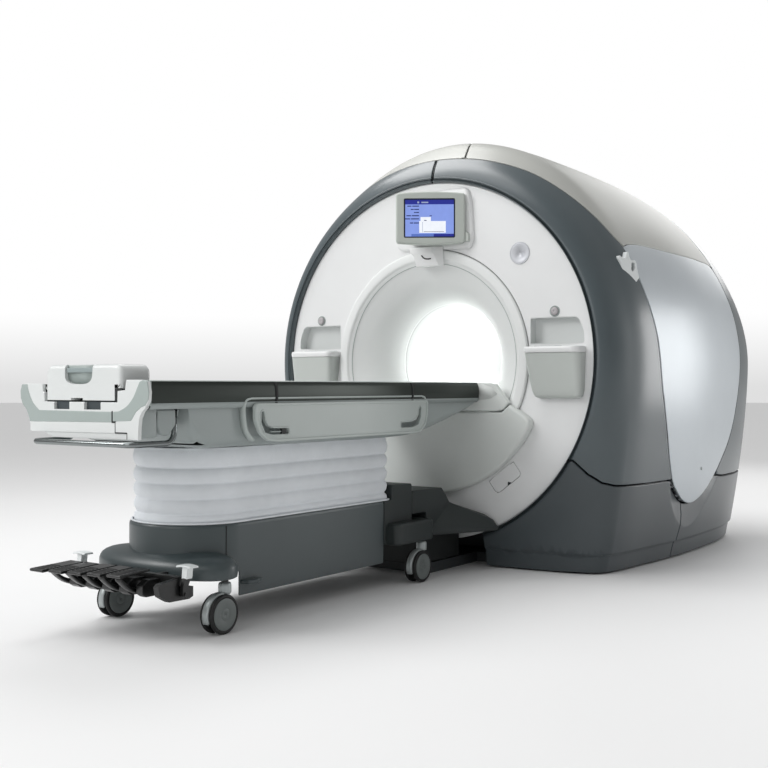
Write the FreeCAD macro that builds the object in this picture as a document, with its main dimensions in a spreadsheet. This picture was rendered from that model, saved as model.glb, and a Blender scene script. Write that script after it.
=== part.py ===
import FreeCAD, Part
import math
import os

V = FreeCAD.Vector

# Magnetic resonance scanner with a detachable patient table, docked.
# Millimetres. The origin is on the floor, under the bore axis, in the plane of
# the gantry's front disc. +X is to the right when facing the gantry, +Y runs
# into the gantry along the bore, +Z is up. The table reaches towards -Y.

doc = FreeCAD.newDocument("mri_scanner")
sheet = doc.addObject("Spreadsheet::Sheet", "dims")

DIMS = [
    ("bore_height", 1064), ("bore_radius", 300), ("tube_wall", 10),
    ("disc_radius", 943), ("disc_hole", 590), ("disc_thick", 12),
    ("trim_outer", 587), ("trim_inner", 517),
    ("cover_wall", 15), ("cover_floor_gap", 8), ("cover_depth", 2050),
    ("lip_radius", 955), ("superellipse", 1.97), ("foot_taper", 0.882),
    ("vessel_radius", 900), ("vessel_front", 240), ("vessel_back", 1830),
    ("vessel_wall", 12), ("coil_outer", 455), ("coil_inner", 345),
    ("former_outer", 640), ("former_inner", 520),
    ("frame_half", 700), ("frame_thick", 50), ("frame_front", 330), ("frame_back", 1900),
    ("anchor_x", 1180), ("anchor_y", 1450), ("anchor_radius", 11),
    ("screen_right", 51), ("screen_wide", 265), ("screen_low", 1695), ("screen_high", 204),
    ("housing_edge_x", 244), ("housing_edge_y", 47), ("housing_wide", 357), ("housing_low", 1660), ("housing_high", 275),
    ("housing_deep", 50), ("display_turn", 33),
    ("pod_left_x", 589), ("pod_wide", 296), ("pod_low", 870), ("pod_high", 255),
    ("niche_wide", 280), ("niche_low", 1140), ("niche_high", 138), ("niche_deep", 62),
    ("button_radius", 21), ("button_x", 730), ("button_z", 1300),
    ("apron_radius", 700), ("apron_deep", 52), ("apron_wall", 8),
    ("castor_track", 285), ("castor_radius", 75), ("castor_foot", 1885), ("castor_head", 523),
    ("castor_trail", 30), ("tread_wide", 19), ("hood_wide", 18),
    ("base_half", 250), ("base_top", 400), ("base_low", 115), ("base_centre", 1765),
    ("base_head", 780), ("base_wall", 8),
    ("bellows_half", 242), ("bellows_head", 722), ("bellows_low", 403), ("bellows_high", 694),
    ("table_half", 340), ("table_low", 850), ("table_high", 100), ("table_foot", 2240),
    ("table_head", 75), ("channel_half", 245), ("channel_floor", 876),
    ("cradle_half", 215), ("cradle_low", 890), ("cradle_thick", 50), ("cradle_foot", 2180),
    ("cradle_head", 100),
    ("pedal_first", 237), ("pedal_pitch", 109.5), ("pedal_wide", 84), ("pedal_shaft", 7),
    ("tube_radius", 11),
]
for i, (name, value) in enumerate(DIMS, 1):
    sheet.set("A%d" % i, name)
    sheet.set("B%d" % i, str(value))
    sheet.setAlias("B%d" % i, name)
doc.recompute()


def cell(name):
    return float(sheet.get(name))


ZC = cell("bore_height")
NODES = []


def node(obj, label):
    obj.Label = label
    NODES.append(obj)
    return obj


def put(obj, prop, value):
    """Set a property from a number, or bind it to the sheet from an expression."""
    if isinstance(value, str):
        obj.setExpression(prop, value)
    elif "." in prop:
        obj.setExpression(prop, repr(float(value)))
    else:
        setattr(obj, prop, value)


def box(name, x, y, z):
    o = doc.addObject("Part::Box", name)
    for prop, axis, (lo, hi) in (("Length", "x", x), ("Width", "y", y), ("Height", "z", z)):
        o.setExpression(prop, "(%s) - (%s)" % (hi, lo))
        o.setExpression("Placement.Base." + axis, "%s" % lo)
    return o


TURN = {
    "x": FreeCAD.Rotation(V(0, 1, 0), 90),
    "y": FreeCAD.Rotation(V(1, 0, 0), -90),
    "z": FreeCAD.Rotation(),
}


def rod(name, r, length, at, axis="y"):
    """Cylinder from the point at, along +axis."""
    o = doc.addObject("Part::Cylinder", name)
    o.Placement = FreeCAD.Placement(V(0, 0, 0), TURN[axis])
    put(o, "Radius", r)
    put(o, "Height", length)
    for a, v in zip("xyz", at):
        o.setExpression("Placement.Base." + a, "%s" % v)
    return o


def cut(name, base, *tools):
    for i, tool in enumerate(tools):
        o = doc.addObject("Part::Cut", "%s_cut%d" % (name, i))
        o.Base, o.Tool = base, tool
        base = o
    return base


def fuse(name, *shapes):
    o = doc.addObject("Part::MultiFuse", name + "_fuse")
    o.Shapes = list(shapes)
    return o


def free(name, shape):
    """Free-form piece, its sizes read from the sheet."""
    o = doc.addObject("Part::Feature", name)
    o.Shape = shape
    o.Placement = FreeCAD.Placement()
    return o


def sketch_on(body, name, role):
    plane = [f for f in body.Origin.OriginFeatures if f.Role == role][0]
    sk = body.newObject("Sketcher::SketchObject", name)
    sk.AttachmentSupport = (plane, [""])
    sk.MapMode = "FlatFace"
    return sk


def outline(sk, pts):
    """Closed polygon with every corner pinned; a corner's size may be a sheet name."""
    import Sketcher
    num = [(cell(a) if isinstance(a, str) else a, cell(b) if isinstance(b, str) else b) for a, b in pts]
    n = len(num)
    for i in range(n):
        a, b = num[i], num[(i + 1) % n]
        sk.addGeometry(Part.LineSegment(V(a[0], a[1], 0), V(b[0], b[1], 0)), False)
    for i in range(n):
        sk.addConstraint(Sketcher.Constraint("Coincident", i, 2, (i + 1) % n, 1))
    for i in range(n):
        for kind, value, given in (("DistanceX", num[i][0], pts[i][0]), ("DistanceY", num[i][1], pts[i][1])):
            if abs(value) < 1e-9:
                other = -2 if kind == "DistanceX" else -1
                sk.addConstraint(Sketcher.Constraint("PointOnObject", i, 1, other))
            elif value > 0:
                k = sk.addConstraint(Sketcher.Constraint(kind, -1, 1, i, 1, value))
                if isinstance(given, str):
                    sk.setExpression("Constraints[%d]" % k, "dims." + given)
            else:
                sk.addConstraint(Sketcher.Constraint(kind, i, 1, -1, 1, -value))


def turned(name, pts):
    """Solid of revolution round the bore axis; corners are (radius, Y)."""
    body = doc.addObject("PartDesign::Body", name)
    sk = sketch_on(body, name + "_profile", "XY_Plane")
    outline(sk, pts)
    rev = body.newObject("PartDesign::Revolution", name + "_turn")
    rev.Profile = (sk, [""])
    rev.ReferenceAxis = (sk, ["V_Axis"])
    rev.Angle = 360
    body.setExpression("Placement.Base.z", "dims.bore_height")
    sk.Visibility = False
    return body


def padded(name, role, pts, length, at):
    """Pad of a polygon drawn on an origin plane of the piece's own body."""
    body = doc.addObject("PartDesign::Body", name)
    sk = sketch_on(body, name + "_profile", role)
    outline(sk, pts)
    pad = body.newObject("PartDesign::Pad", name + "_pad")
    pad.Profile = (sk, [""])
    put(pad, "Length", length)
    for a, v in zip("xyz", at):
        body.setExpression("Placement.Base." + a, "%s" % v)
    return body


def prism_x(pts, x0, x1):
    """Side-view polygon (Y, Z) run from x0 to x1."""
    w = Part.makePolygon([V(x0, a, b) for a, b in pts + pts[:1]])
    return Part.Face(w).extrude(V(x1 - x0, 0, 0))


def prism_y(pts, y0, y1):
    """Front-view polygon (X, Z) run from y0 to y1."""
    w = Part.makePolygon([V(a, y0, b) for a, b in pts + pts[:1]])
    return Part.Face(w).extrude(V(0, y1 - y0, 0))


def prism_z(pts, z0, z1):
    w = Part.makePolygon([V(a, b, z0) for a, b in pts + pts[:1]])
    return Part.Face(w).extrude(V(0, 0, z1 - z0))


def mirror_x(shape):
    return shape.mirror(V(0, 0, 0), V(1, 0, 0))


# ---------------------------------------------------------------- gantry, inside
rail_l = box("rail_l", ("-dims.frame_half", "-dims.frame_half + 220"), (150, "dims.frame_back"), (0, "dims.frame_thick"))
rail_r = box("rail_r", ("dims.frame_half - 220", "dims.frame_half"), (150, "dims.frame_back"), (0, "dims.frame_thick"))
cross = [box("cross%d" % i, ("-dims.frame_half", "dims.frame_half"), (y, y + w), (0, "dims.frame_thick"))
         for i, (y, w) in enumerate(((150, 160), (420, 160), (1440, 160), (1740, 160)))]
tongue = box("tongue", (-200, 200), ("-dims.frame_front", 200), (0, "dims.frame_thick"))
saddles = []
for i, y in enumerate((420, 1440)):
    blank = box("saddle_blank%d" % i, (-620, 620), (y, y + 160), ("dims.frame_thick", 430))
    saddles.append(cut("saddle%d" % i, blank, rod("saddle_seat%d" % i, "dims.vessel_radius", 200, (0, y - 20, "dims.bore_height"))))
bolts = [rod("anchor%d" % i, "dims.anchor_radius", 90, (x, y, -20), "z") for i, (x, y) in enumerate(
    [("%s dims.anchor_x / 2" % sx, "%d %s dims.anchor_y / 2" % (1025, sy)) for sx in ("-", "") for sy in ("-", "+")])]
node(cut("base_frame", fuse("base_frame", rail_l, rail_r, *cross, tongue, *saddles), *bolts), "base_frame")

# Vessel: outer wall and end rings, with the winding former between them.
node(turned("magnet_vessel", [
    ("coil_outer", "vessel_front"), ("vessel_radius", "vessel_front"), ("vessel_radius", "vessel_back"),
    ("coil_outer", "vessel_back"), ("coil_outer", 1805), ("former_inner", 1805), ("former_inner", 1700),
    ("former_outer", 1700), ("former_outer", 1805), (888, 1805), (888, 265), ("former_outer", 265),
    ("former_outer", 370), ("former_inner", 370), ("former_inner", 265), ("coil_outer", 265)]), "magnet_vessel")
node(turned("gradient_coil", [
    ("coil_inner", 262), ("coil_outer", 262), ("coil_outer", 1808), ("coil_inner", 1808)]), "gradient_coil")
node(turned("bore_tube", [
    ("bore_radius", 236), (310, 236), (310, 300), (345, 300), (345, 330), (310, 330), (310, 1730),
    (345, 1730), (345, 1760), (310, 1760), (310, 1834), ("bore_radius", 1834)]), "bore_tube")

# Trumpet-shaped mouth with its raised trim ring, one moulding at each end.
MOUTH = [(587, 0), (584, -12), (572, -18), (545, -18), (526, -12), (517, 0), (500, 12), (470, 30), (430, 56), (390, 92),
         (350, 142), (322, 190), (306, 222), (300, 235)]
BACK = [(307, 235), (313, 225), (329, 195), (357, 149), (396, 100), (435, 65), (474, 39), (503, 22), (520, 12), (587, 12)]
node(turned("front_bell", [("trim_outer", 0)] + MOUTH[1:] + BACK), "front_bell")

# ---------------------------------------------------------------- gantry covers
# Sections through the covers: half width and height above the bore axis at each depth.
KNOT_Y = [45, 60, 140, 220, 360, 500, 675, 850, 1025, 1200, 1375, 1550, 1700, 1830, 1950, 2050]
KNOT_W = [1032, 1040, 1068, 1089, 1111, 1126, 1146, 1162, 1170, 1170, 1167, 1158, 1140, 1115, 1084, 1050]
KNOT_T = [1020, 1032, 1130, 1180, 1202, 1203, 1199, 1193, 1187, 1179, 1167, 1145, 1107, 1053, 985, 912]


def section(w, t, y, low):
    """Closed cover section: a superellipse above the bore axis, leaning sides below it."""
    e = 2.0 / cell("superellipse")
    b = cell("foot_taper")
    pts = []
    for z in (low, 120, 260, 420, 600, 800, 950):
        pts.append((w - (w - w * b) * ((ZC - z) / ZC) ** 1.6, z))
    for k in range(0, 13):
        a = math.radians(90.0 * k / 12)
        pts.append((w * math.cos(a) ** e if k < 12 else 0.0, ZC + t * math.sin(a) ** e))
    ring = pts + [(-x, z) for x, z in reversed(pts[:-1])]
    curve = Part.BSplineCurve()
    curve.interpolate([V(x, y, z) for x, z in ring])
    ends = [V(ring[-1][0], y, low), V(ring[0][0], y, low)]
    return Part.Wire([curve.toShape(), Part.LineSegment(*ends).toShape()])


def hull(inset, y_list, low):
    wires = []
    for y, w, t in zip(KNOT_Y, KNOT_W, KNOT_T):
        if y_list[0] <= y <= y_list[1]:
            wires.append(section(w - inset, t - inset, y, low))
    return Part.makeLoft(wires, True, False)


wall = cell("cover_wall")
gap = cell("cover_floor_gap")
outer = hull(0, (45, 2050), gap)
# The cavity stops a wall's thickness short of the front and the back.
front_cut = prism_y([(-1400, -100), (1400, -100), (1400, 2500), (-1400, 2500)], 0, 45 + wall)
back_cut = prism_y([(-1400, -100), (1400, -100), (1400, 2500), (-1400, 2500)], 2050 - wall, 2200)
inner = hull(wall, (45, 2050), -40).cut(front_cut).cut(back_cut)
mouth_hole = Part.makeCylinder(cell("lip_radius"), 200, V(0, -20, ZC), V(0, 1, 0))
rear_hole = Part.makeCylinder(800, 200, V(0, 1990, ZC), V(0, 1, 0))
shell = outer.cut(inner).cut(mouth_hole).cut(rear_hole)

# Rolled lip round the front disc.
lip_pts = [(955, -20), (965, -20), (1000, 10), (1032, 45), (1018, 60), (955, 60)]
lip_wire = Part.makePolygon([V(r, y, ZC) for r, y in lip_pts + lip_pts[:1]])
lip = Part.Face(lip_wire).revolve(V(0, 0, ZC), V(0, 1, 0), 360)
lip = lip.cut(shell)
skin = [shell, lip]

SEAM = [(110, 2160), (120, 2030), (133, 1946), (165, 1855), (210, 1753), (255, 1677), (291, 1631), (325, 1459),
        (362, 1288), (385, 1187), (402, 1084), (438, 931), (463, 865), (527, 705), (593, 545), (650, 439)]
TIP = [(730, 375), (790, 330), (850, 300), (920, 288), (980, 293)]
BACK_SEAM = [(1150, 359), (1245, 428), (1330, 492), (1420, 590), (1480, 692), (1530, 851), (1558, 971), (1560, 1102),
             (1552, 1260), (1540, 1405), (1515, 1520), (1500, 1612)]
TOP_SEAM = [(1490, 1630), (1300, 1645), (1120, 1650), (900, 1651), (710, 1655), (540, 1659), (430, 1655), (350, 1645)]
LOW_SEAM = [(-60, 580), (0, 548), (60, 452), (170, 440), (350, 438)]

regions = {
    "bezel": [(-60, 2400), (100, 2400)] + SEAM + [(350, 438), (170, 440), (60, 452), (0, 548), (-60, 580)],
    "side_panel": SEAM[6:] + TIP + BACK_SEAM + TOP_SEAM,
    "top_cover": [(100, 2400)] + SEAM[:7] + TOP_SEAM[::-1] + [(1500, 1612), (1500, 2400)],
    "front_lower_cover": LOW_SEAM + [(650, 439)] + TIP[:3] + [(805, 0), (-60, 0)],
    "rear_lower_cover": [(850, 300), (920, 288), (980, 293), (1150, 359), (1245, 428), (1410, 414), (1690, 412),
                         (2100, 410), (2100, 0), (805, 0)],
    "rear_bezel": [(1245, 428)] + BACK_SEAM[2:] + [(1500, 2400), (2100, 2400), (2100, 410), (1690, 412), (1410, 414)],
}


def take(region, x0, x1):
    p = prism_x(region, x0, x1)
    got = [s.common(p) for s in skin]
    solids = [q for g in got for q in g.Solids if q.Volume > 5000]
    whole = solids[0]
    for q in solids[1:]:
        whole = whole.fuse(q)
    return whole.removeSplitter()


# Low plinth that runs forward under the disc on each side.
plinth = prism_z([(330, -45), (560, -25), (760, 20), (868, 48), (330, 48)], gap, 100)

# The bezel and the top covers part at the crown along slanted joints (X, Y).
joints = {"bezel": [(39, -60), (-12, 105), (-12, 700)], "top_cover": [(180, 50), (0, 530), (0, 1510)]}
for name, line in joints.items():
    whole = take(regions[name], -1400, 1400)
    y0, y1 = line[0][1], line[-1][1]
    for side, s in (("right", 1), ("left", -1)):
        keep = prism_z([(x + 1.1 * s, y) for x, y in line] + [(1400 * s, y1), (1400 * s, y0)], -50, 2500)
        node(free("%s_%s" % (name, side), whole.common(keep)), "%s_%s" % (name, side))

for name in ("side_panel", "front_lower_cover", "rear_lower_cover"):
    right = take(regions[name], 1, 1400)
    if name == "front_lower_cover":
        right = right.fuse(plinth).removeSplitter().cut(Part.makeBox(406, 120, 70, V(-203, -40, -17)))
    node(free(name + "_right", right), name + "_right")
    node(free(name + "_left", mirror_x(right)), name + "_left")
node(free("rear_bezel", take(regions["rear_bezel"], -1400, 1400)), "rear_bezel")

node(turned("rear_disc", [
    (307, 1836), (313, 1846), (329, 1876), (357, 1922), (396, 1965), (440, 1995), (500, 2018), (560, 2035), (797, 2035),
    (797, 2047), (556, 2047), (494, 2030), (432, 2006), (386, 1974), (348, 1930), (321, 1882), (306, 1852), (300, 1836)]),
    "rear_disc")

# Front disc with its two control niches and the service opening.
disc = turned("front_disc_blank", [("disc_hole", 0), ("disc_radius", 0), ("disc_radius", "disc_thick"), ("disc_hole", "disc_thick")])
niche_r = box("niche_hole_r", (584, 872), (-5, 20), ("dims.niche_low - 2", "dims.niche_low + dims.niche_high + 2"))
niche_l = box("niche_hole_l", (-872, -584), (-5, 20), ("dims.niche_low - 2", "dims.niche_low + dims.niche_high + 2"))
btn_r = rod("button_hole_r", "dims.button_radius + 1.5", 30, ("dims.button_x", -5, "dims.button_z"))
btn_l = rod("button_hole_l", "dims.button_radius + 1.5", 30, ("-dims.button_x", -5, "dims.button_z"))

# Service door: a rectangle laid along the apron's rim, hinged on the rim side.
DOOR_A = math.radians(-53.0)
RAD = V(math.cos(DOOR_A), 0, math.sin(DOOR_A))
TAN = V(-math.sin(DOOR_A), 0, math.cos(DOOR_A))
DOOR_C = V(0, 0, ZC) + RAD * 712


def door_prism(grow, y0, y1):
    pts = []
    for t, r in ((-88, 0), (88, 0), (88, 66), (74, 80), (-74, 80), (-88, 66)):
        s = 1 if t > 0 else -1
        q = DOOR_C + TAN * (t + s * grow) + RAD * (r + (grow if r > 0 else -grow))
        pts.append((q.x, q.z))
    return prism_y(pts, y0, y1)


door_hole = free("door_hole", door_prism(1.5, -5, 20).fuse(Part.makeCylinder(4, 134, DOOR_C - TAN * 67, TAN)))
node(cut("front_disc", disc, niche_r, niche_l, btn_r, btn_l, door_hole), "front_disc")
# The hinge barrel lies on the door's inner edge, level with the disc's face.
barrel = Part.makeCylinder(3, 130, DOOR_C - TAN * 65, TAN)
node(free("access_door", door_prism(0, 0, 7).fuse(barrel).removeSplitter()), "access_door")

# ---------------------------------------------------------------- gantry, front fittings
# The display is turned about the upright edge beside the disc, on a wedge that fills the space behind it.
EDGE = V(cell("housing_edge_x"), -cell("housing_edge_y"), 0)
hw, hl, hh, hd = (cell(k) for k in ("housing_wide", "housing_low", "housing_high", "housing_deep"))
sl, sw, so, sh = (cell(k) for k in ("screen_right", "screen_wide", "screen_low", "screen_high"))


def turned_in(shape):
    """Turn a shape drawn with its front face on y 0 and its right edge on x 0 into the display's place."""
    at = FreeCAD.Placement(EDGE, FreeCAD.Rotation(V(0, 0, 1), cell("display_turn")))
    s = shape.copy()
    s.transformShape(at.toMatrix(), True)
    return s


house = Part.makeBox(hw, hd, hh, V(-hw, 0, hl))
house = house.cut(Part.makeBox(sw + 4, 17, sh + 4, V(-sl - sw - 2, -5, so - 2)))
turn = FreeCAD.Rotation(V(0, 0, 1), cell("display_turn"))
plan = [EDGE + turn.multVec(V(-t, hd, 0)) for t in (24, 330)]
wedge_pts = [(plan[0].x, plan[0].y), (plan[1].x, plan[1].y), (-112, -1), (206, -1)]
lean = prism_z(wedge_pts, hl + 22, hl + hh - 22)
tab = Part.makeBox(37, 39, 52, V(221, -40, 1676))
body = turned_in(house).fuse([lean, tab]).removeSplitter()
node(free("display_housing", body), "display_housing")
node(free("display_screen", turned_in(Part.makeBox(sw, 9, sh, V(-sl - sw, 3, so)))), "display_screen")
light = box("light_body", (-82, 82), (-64, -19), (1560, 1659))
slit = box("light_slit", (-30, 30), (-70, -58), (1604, 1612))
node(cut("light_box", light, slit), "light_box")


def pod_shape():
    """Desk-like pod: its top steps out over a tapering body, with a niche behind the keys."""
    def ring(z, y_front, x0, x1, r):
        p = [V(x0, 0, z), V(x1, 0, z), V(x1, y_front + r, z), V(x1 - r, y_front, z), V(x0 + r, y_front, z), V(x0, y_front + r, z)]
        return Part.makePolygon([q + V(0, -1, 0) for q in p] + [p[0] + V(0, -1, 0)])
    x0, w = cell("pod_left_x"), cell("pod_wide")
    low, high = cell("pod_low"), cell("pod_high")
    body = Part.makeLoft([ring(low, -52, x0 + 30, x0 + w - 12, 24), ring(low + 40, -70, x0 + 16, x0 + w - 3, 30),
                          ring(low + high - 25, -104, x0, x0 + w, 34), ring(low + high, -112, x0, x0 + w, 34)], True, True)
    nx, nz, nw, nh, nd = x0 + 1, cell("niche_low"), cell("niche_wide"), cell("niche_high"), cell("niche_deep")
    tray = Part.makeBox(nw + 1, nd, nh, V(nx, -1, nz))
    tray = tray.cut(Part.makeBox(nw - 11, nd, nh - 12, V(nx + 6, -7, nz + 6)))
    link = Part.makeBox(nw, 13, 26, V(nx, -13, nz - 24))
    return body.fuse([tray, link]).removeSplitter()


key_slot = Part.makeBox(150, 22, 14, V(650, -78, cell("pod_low") + cell("pod_high") - 8))
pod = pod_shape().cut(key_slot)
node(free("control_pod_right", pod), "control_pod_right")
node(free("control_pod_left", mirror_x(pod)), "control_pod_left")
for side, sx in (("right", 1), ("left", -1)):
    x0 = 652 if sx > 0 else -798
    node(box("key_" + side, (x0, x0 + 146), (-76, -58), ("dims.pod_low + dims.pod_high - 4.5", "dims.pod_low + dims.pod_high + 3")), "key_" + side)
    cap = rod("stop_cap_" + side, "dims.button_radius", 14, ("%d * dims.button_x" % sx, -11, "dims.button_z"))
    stem = rod("stop_stem_" + side, 9, 20, ("%d * dims.button_x" % sx, 3, "dims.button_z"))
    node(fuse("stop_button_" + side, cap, stem), "stop_button_" + side)

# Lifting hooks at the junction of the bezel, top cover and side panel.
hook = prism_x([(196, 1600), (228, 1596), (262, 1560), (322, 1536), (330, 1514), (300, 1490), (262, 1452), (236, 1424),
                (208, 1440), (200, 1500)], 930, 1062)
slot = prism_x([(222, 1546), (292, 1524), (288, 1500), (222, 1516)], 900, 1100)
hook = hook.cut(outer).cut(slot).cut(prism_x([(150, 1380), (360, 1380), (360, 1640), (150, 1640)], 1052, 1100))
hook = max(hook.Solids, key=lambda q: q.Volume)
pair = Part.makeCompound([hook, mirror_x(hook)])
node(free("lifting_hooks", pair), "lifting_hooks")

# Docking apron: a half disc round the bore, hollow at the back.
ra, ta, wa = cell("apron_radius"), cell("apron_deep"), cell("apron_wall")
top_line = [(-720, 300), (720, 300), (720, 700), (622, 764), (500, 836), (456, 800), (-456, 800), (-500, 836), (-622, 764), (-720, 700)]
in_line = [(-720, 300), (720, 300), (720, 690), (612, 756), (500, 824), (460, 790), (-460, 790), (-500, 824), (-612, 756), (-720, 690)]
apron = Part.makeCylinder(ra, ta, V(0, -ta - 3, ZC), V(0, 1, 0)).common(prism_y(top_line, -ta - 3, -3))
apron_in = Part.makeCylinder(ra - wa, ta, V(0, -ta - 3 + wa, ZC), V(0, 1, 0)).common(prism_y(in_line, -ta - 3 + wa, 5))
node(free("dock_apron", apron.cut(apron_in).cut(Part.makeCylinder(589, 22, V(0, -20, ZC), V(0, 1, 0)))), "dock_apron")

# Bridge: shoulders in front of the trim ring and the track along the bore's floor.
wedge = prism_y([(-470, 812), (-502, 840), (-420, 938), (-330, 948), (-240, 948), (-240, 884), (240, 884), (240, 948),
                 (330, 948), (420, 938), (502, 840), (470, 812), (440, 804), (-440, 804)], -58, -20)
track = prism_y([(-165, 842), (165, 842), (200, 866), (200, 884), (-200, 884), (-200, 866)], -58, 1850)
node(free("bridge", wedge.fuse(track).removeSplitter()), "bridge")

# Docking station on the floor plate.
station = prism_x([(-548, 318), (-548, 430), (-283, 426), (-252, 398), (-212, 351), (-60, 296), (-24, 286), (-24, 52), (-410, 52), (-425, 120),
                   (-425, 318)], -250, 250)
for x in (-300, 196):
    station = station.cut(Part.makeBox(104, 420, 152, V(x, -440, 46)))
# Low wings that flare out towards the gantry's foot, cut by two slanted planes.
flare = prism_z([(240, -400), (240, -24), (432, -24), (432, -62)], 198, 380)
for at, n in ((V(248, -215, 346), V(16808, 8832, 35144)), (V(248, -215, 346), V(46199, -22632, 34040))):
    flare = flare.cut(Part.makeCylinder(1500, 700, at, n))
socket = prism_x([(-560, 340), (-560, 372), (-470, 372), (-470, 340)], -70, 70)
station = station.fuse([flare, mirror_x(flare)]).removeSplitter()
node(free("dock_station", station.cut(socket)), "dock_station")

# ---------------------------------------------------------------- table cart
bh, bt, bl, bc, bd, bw = (cell(k) for k in ("base_half", "base_top", "base_low", "base_centre", "base_head", "base_wall"))


def stadium(r, y_centre, y_head, z0, z1):
    """Half-round at the foot end, square at the head end."""
    a, b, c = V(-r, y_head, z0), V(-r, y_centre, z0), V(0, y_centre - r, z0)
    d, e = V(r, y_centre, z0), V(r, y_head, z0)
    wire = Part.Wire([Part.LineSegment(a, b).toShape(), Part.Arc(b, c, d).toShape(),
                      Part.LineSegment(d, e).toShape(), Part.LineSegment(e, a).toShape()])
    return Part.Face(wire).extrude(V(0, 0, z1 - z0))


base = stadium(bh, -bc, -bd, bl, bt).cut(stadium(bh - bw, -bc, -bd - bw, bl - 5, bt - bw))
base = base.cut(Part.makeBox(700, 400, 210 - bl + 20, V(-350, -bc - 400 + 4, bl - 20)))
base = base.cut(Part.makeBox(206, 616, 60, V(-103, -1558, bt - 30)))
base = base.cut(Part.makeBox(2 * (bh - bw), 30, bt - bw - bl + 10, V(-bh + bw, -bd - 20, bl - 10)))
base = base.cut(Part.makeBox(600, 66, 45, V(-300, -1918, 208)))
for x in (-152, 128):
    base = base.cut(Part.makeBox(24, 120, 34, V(x, -2040, 208)))
node(free("base_cover", base), "base_cover")

chassis = fuse("chassis_parts",
               box("spine_l", (-150, -90), (-1930, -450), (214, 270)), box("spine_r", (90, 150), (-1930, -450), (214, 270)),
               box("foot_beam", (-300, 300), (-1915, -1855), (214, 250)), box("head_beam", (-225, 225), (-640, -590), (214, 270)),
               box("floor_plate", (-150, 150), (-1900, -600), (214, 230)))
mast_o = box("mast_outer", (-100, 100), (-1555, -945), (214, 560))
mast_i = box("mast_bore", (-86, 86), (-1541, -959), (230, 600))
head_legs = [rod("head_leg_%d" % i, 14, 26, ("%d * dims.castor_track" % s, "-dims.castor_head", 191), "z") for i, s in enumerate((1, -1))]
head_bar = box("head_bar", (-300, 300), (-545, -500), (214, 250))
foot_legs = [rod("foot_leg_%d" % i, 14, 26, ("%d * dims.castor_track" % s, "-dims.castor_foot", 191), "z") for i, s in enumerate((1, -1))]
pedal_bar = [box("pedal_arm_%d" % i, (x, x + 20), (-2112, -1924), (214, 238)) for i, x in enumerate((-150, 130))]
pedal_bracket = [box("pedal_lug_%d" % i, (x, x + 8), (-2112, -2088), (162, 238)) for i, x in enumerate((-276, 256))]
pedal_rail = box("pedal_rail", (-276, 264), (-2112, -2088), (208, 238))
pedal_shaft = rod("pedal_shaft", "dims.pedal_shaft", 596, (-298, -2100, 176), "x")
# Closed housing beside the last pedal, under the wing.
pedal_case = free("pedal_case", prism_x([(-2206, 180), (-2214, 214), (-2202, 224), (-2118, 232), (-2112, 206), (-2064, 200),
                                         (-2040, 196), (-2040, 160), (-2060, 152), (-2160, 154)], 247, 273))
node(fuse("cart_frame", chassis, cut("mast", mast_o, mast_i), head_bar, *head_legs, *foot_legs, *pedal_bar, *pedal_bracket,
          pedal_rail, pedal_shaft, pedal_case), "cart_frame")

# Toe cover: a low wing across the foot end, over the castors and the pedal shaft.
wing = prism_z([(-250, -2050), (-320, -2010), (-350, -1950), (-350, -1830), (-330, -1775), (330, -1775), (350, -1830),
                (350, -1950), (320, -2010), (250, -2050), (120, -2075), (-120, -2075)], 204, 286)
wing_in = prism_z([(-246, -2042), (-314, -2004), (-342, -1946), (-342, -1834), (-324, -1783), (324, -1783), (342, -1834),
                   (342, -1946), (314, -2004), (246, -2042), (118, -2067), (-118, -2067)], 190, 278)
wing = wing.cut(wing_in).cut(stadium(bh + 0.0, -bc, -bd, 150, 500))
wing = wing.cut(Part.makeBox(600, 60, 60, V(-300, -2120, 190)))
node(free("toe_cover", wing), "toe_cover")

# Head-end block with its lower step over the head castors.
hb = Part.makeBox(500, 228, 265, V(-250, -778, 200)).cut(Part.makeBox(484, 212, 265, V(-242, -770, 192)))
step = Part.makeBox(620, 318, 100, V(-310, -758, 192)).cut(Part.makeBox(604, 302, 100, V(-302, -750, 184)))
step = step.cut(Part.makeBox(500, 228, 200, V(-250, -778, 150)))
step = step.cut(Part.makeBox(484, 250, 92, V(-242, -770, 184)))
hb = hb.cut(Part.makeBox(484, 30, 84, V(-242, -560, 200))).cut(Part.makeBox(304, 30, 76, V(-152, -790, 198)))
hb = hb.cut(Part.makeBox(520, 61, 80, V(-260, -780, 401))).fuse(Part.makeBox(484, 8, 62, V(-242, -719, 401)))
hb = hb.fuse(Part.makeBox(484, 60, 8, V(-242, -770, 393)))
lug = Part.makeBox(110, 62, 20, V(-55, -551, 346))
node(free("head_block", hb.fuse([step, lug]).removeSplitter()), "head_block")

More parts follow.
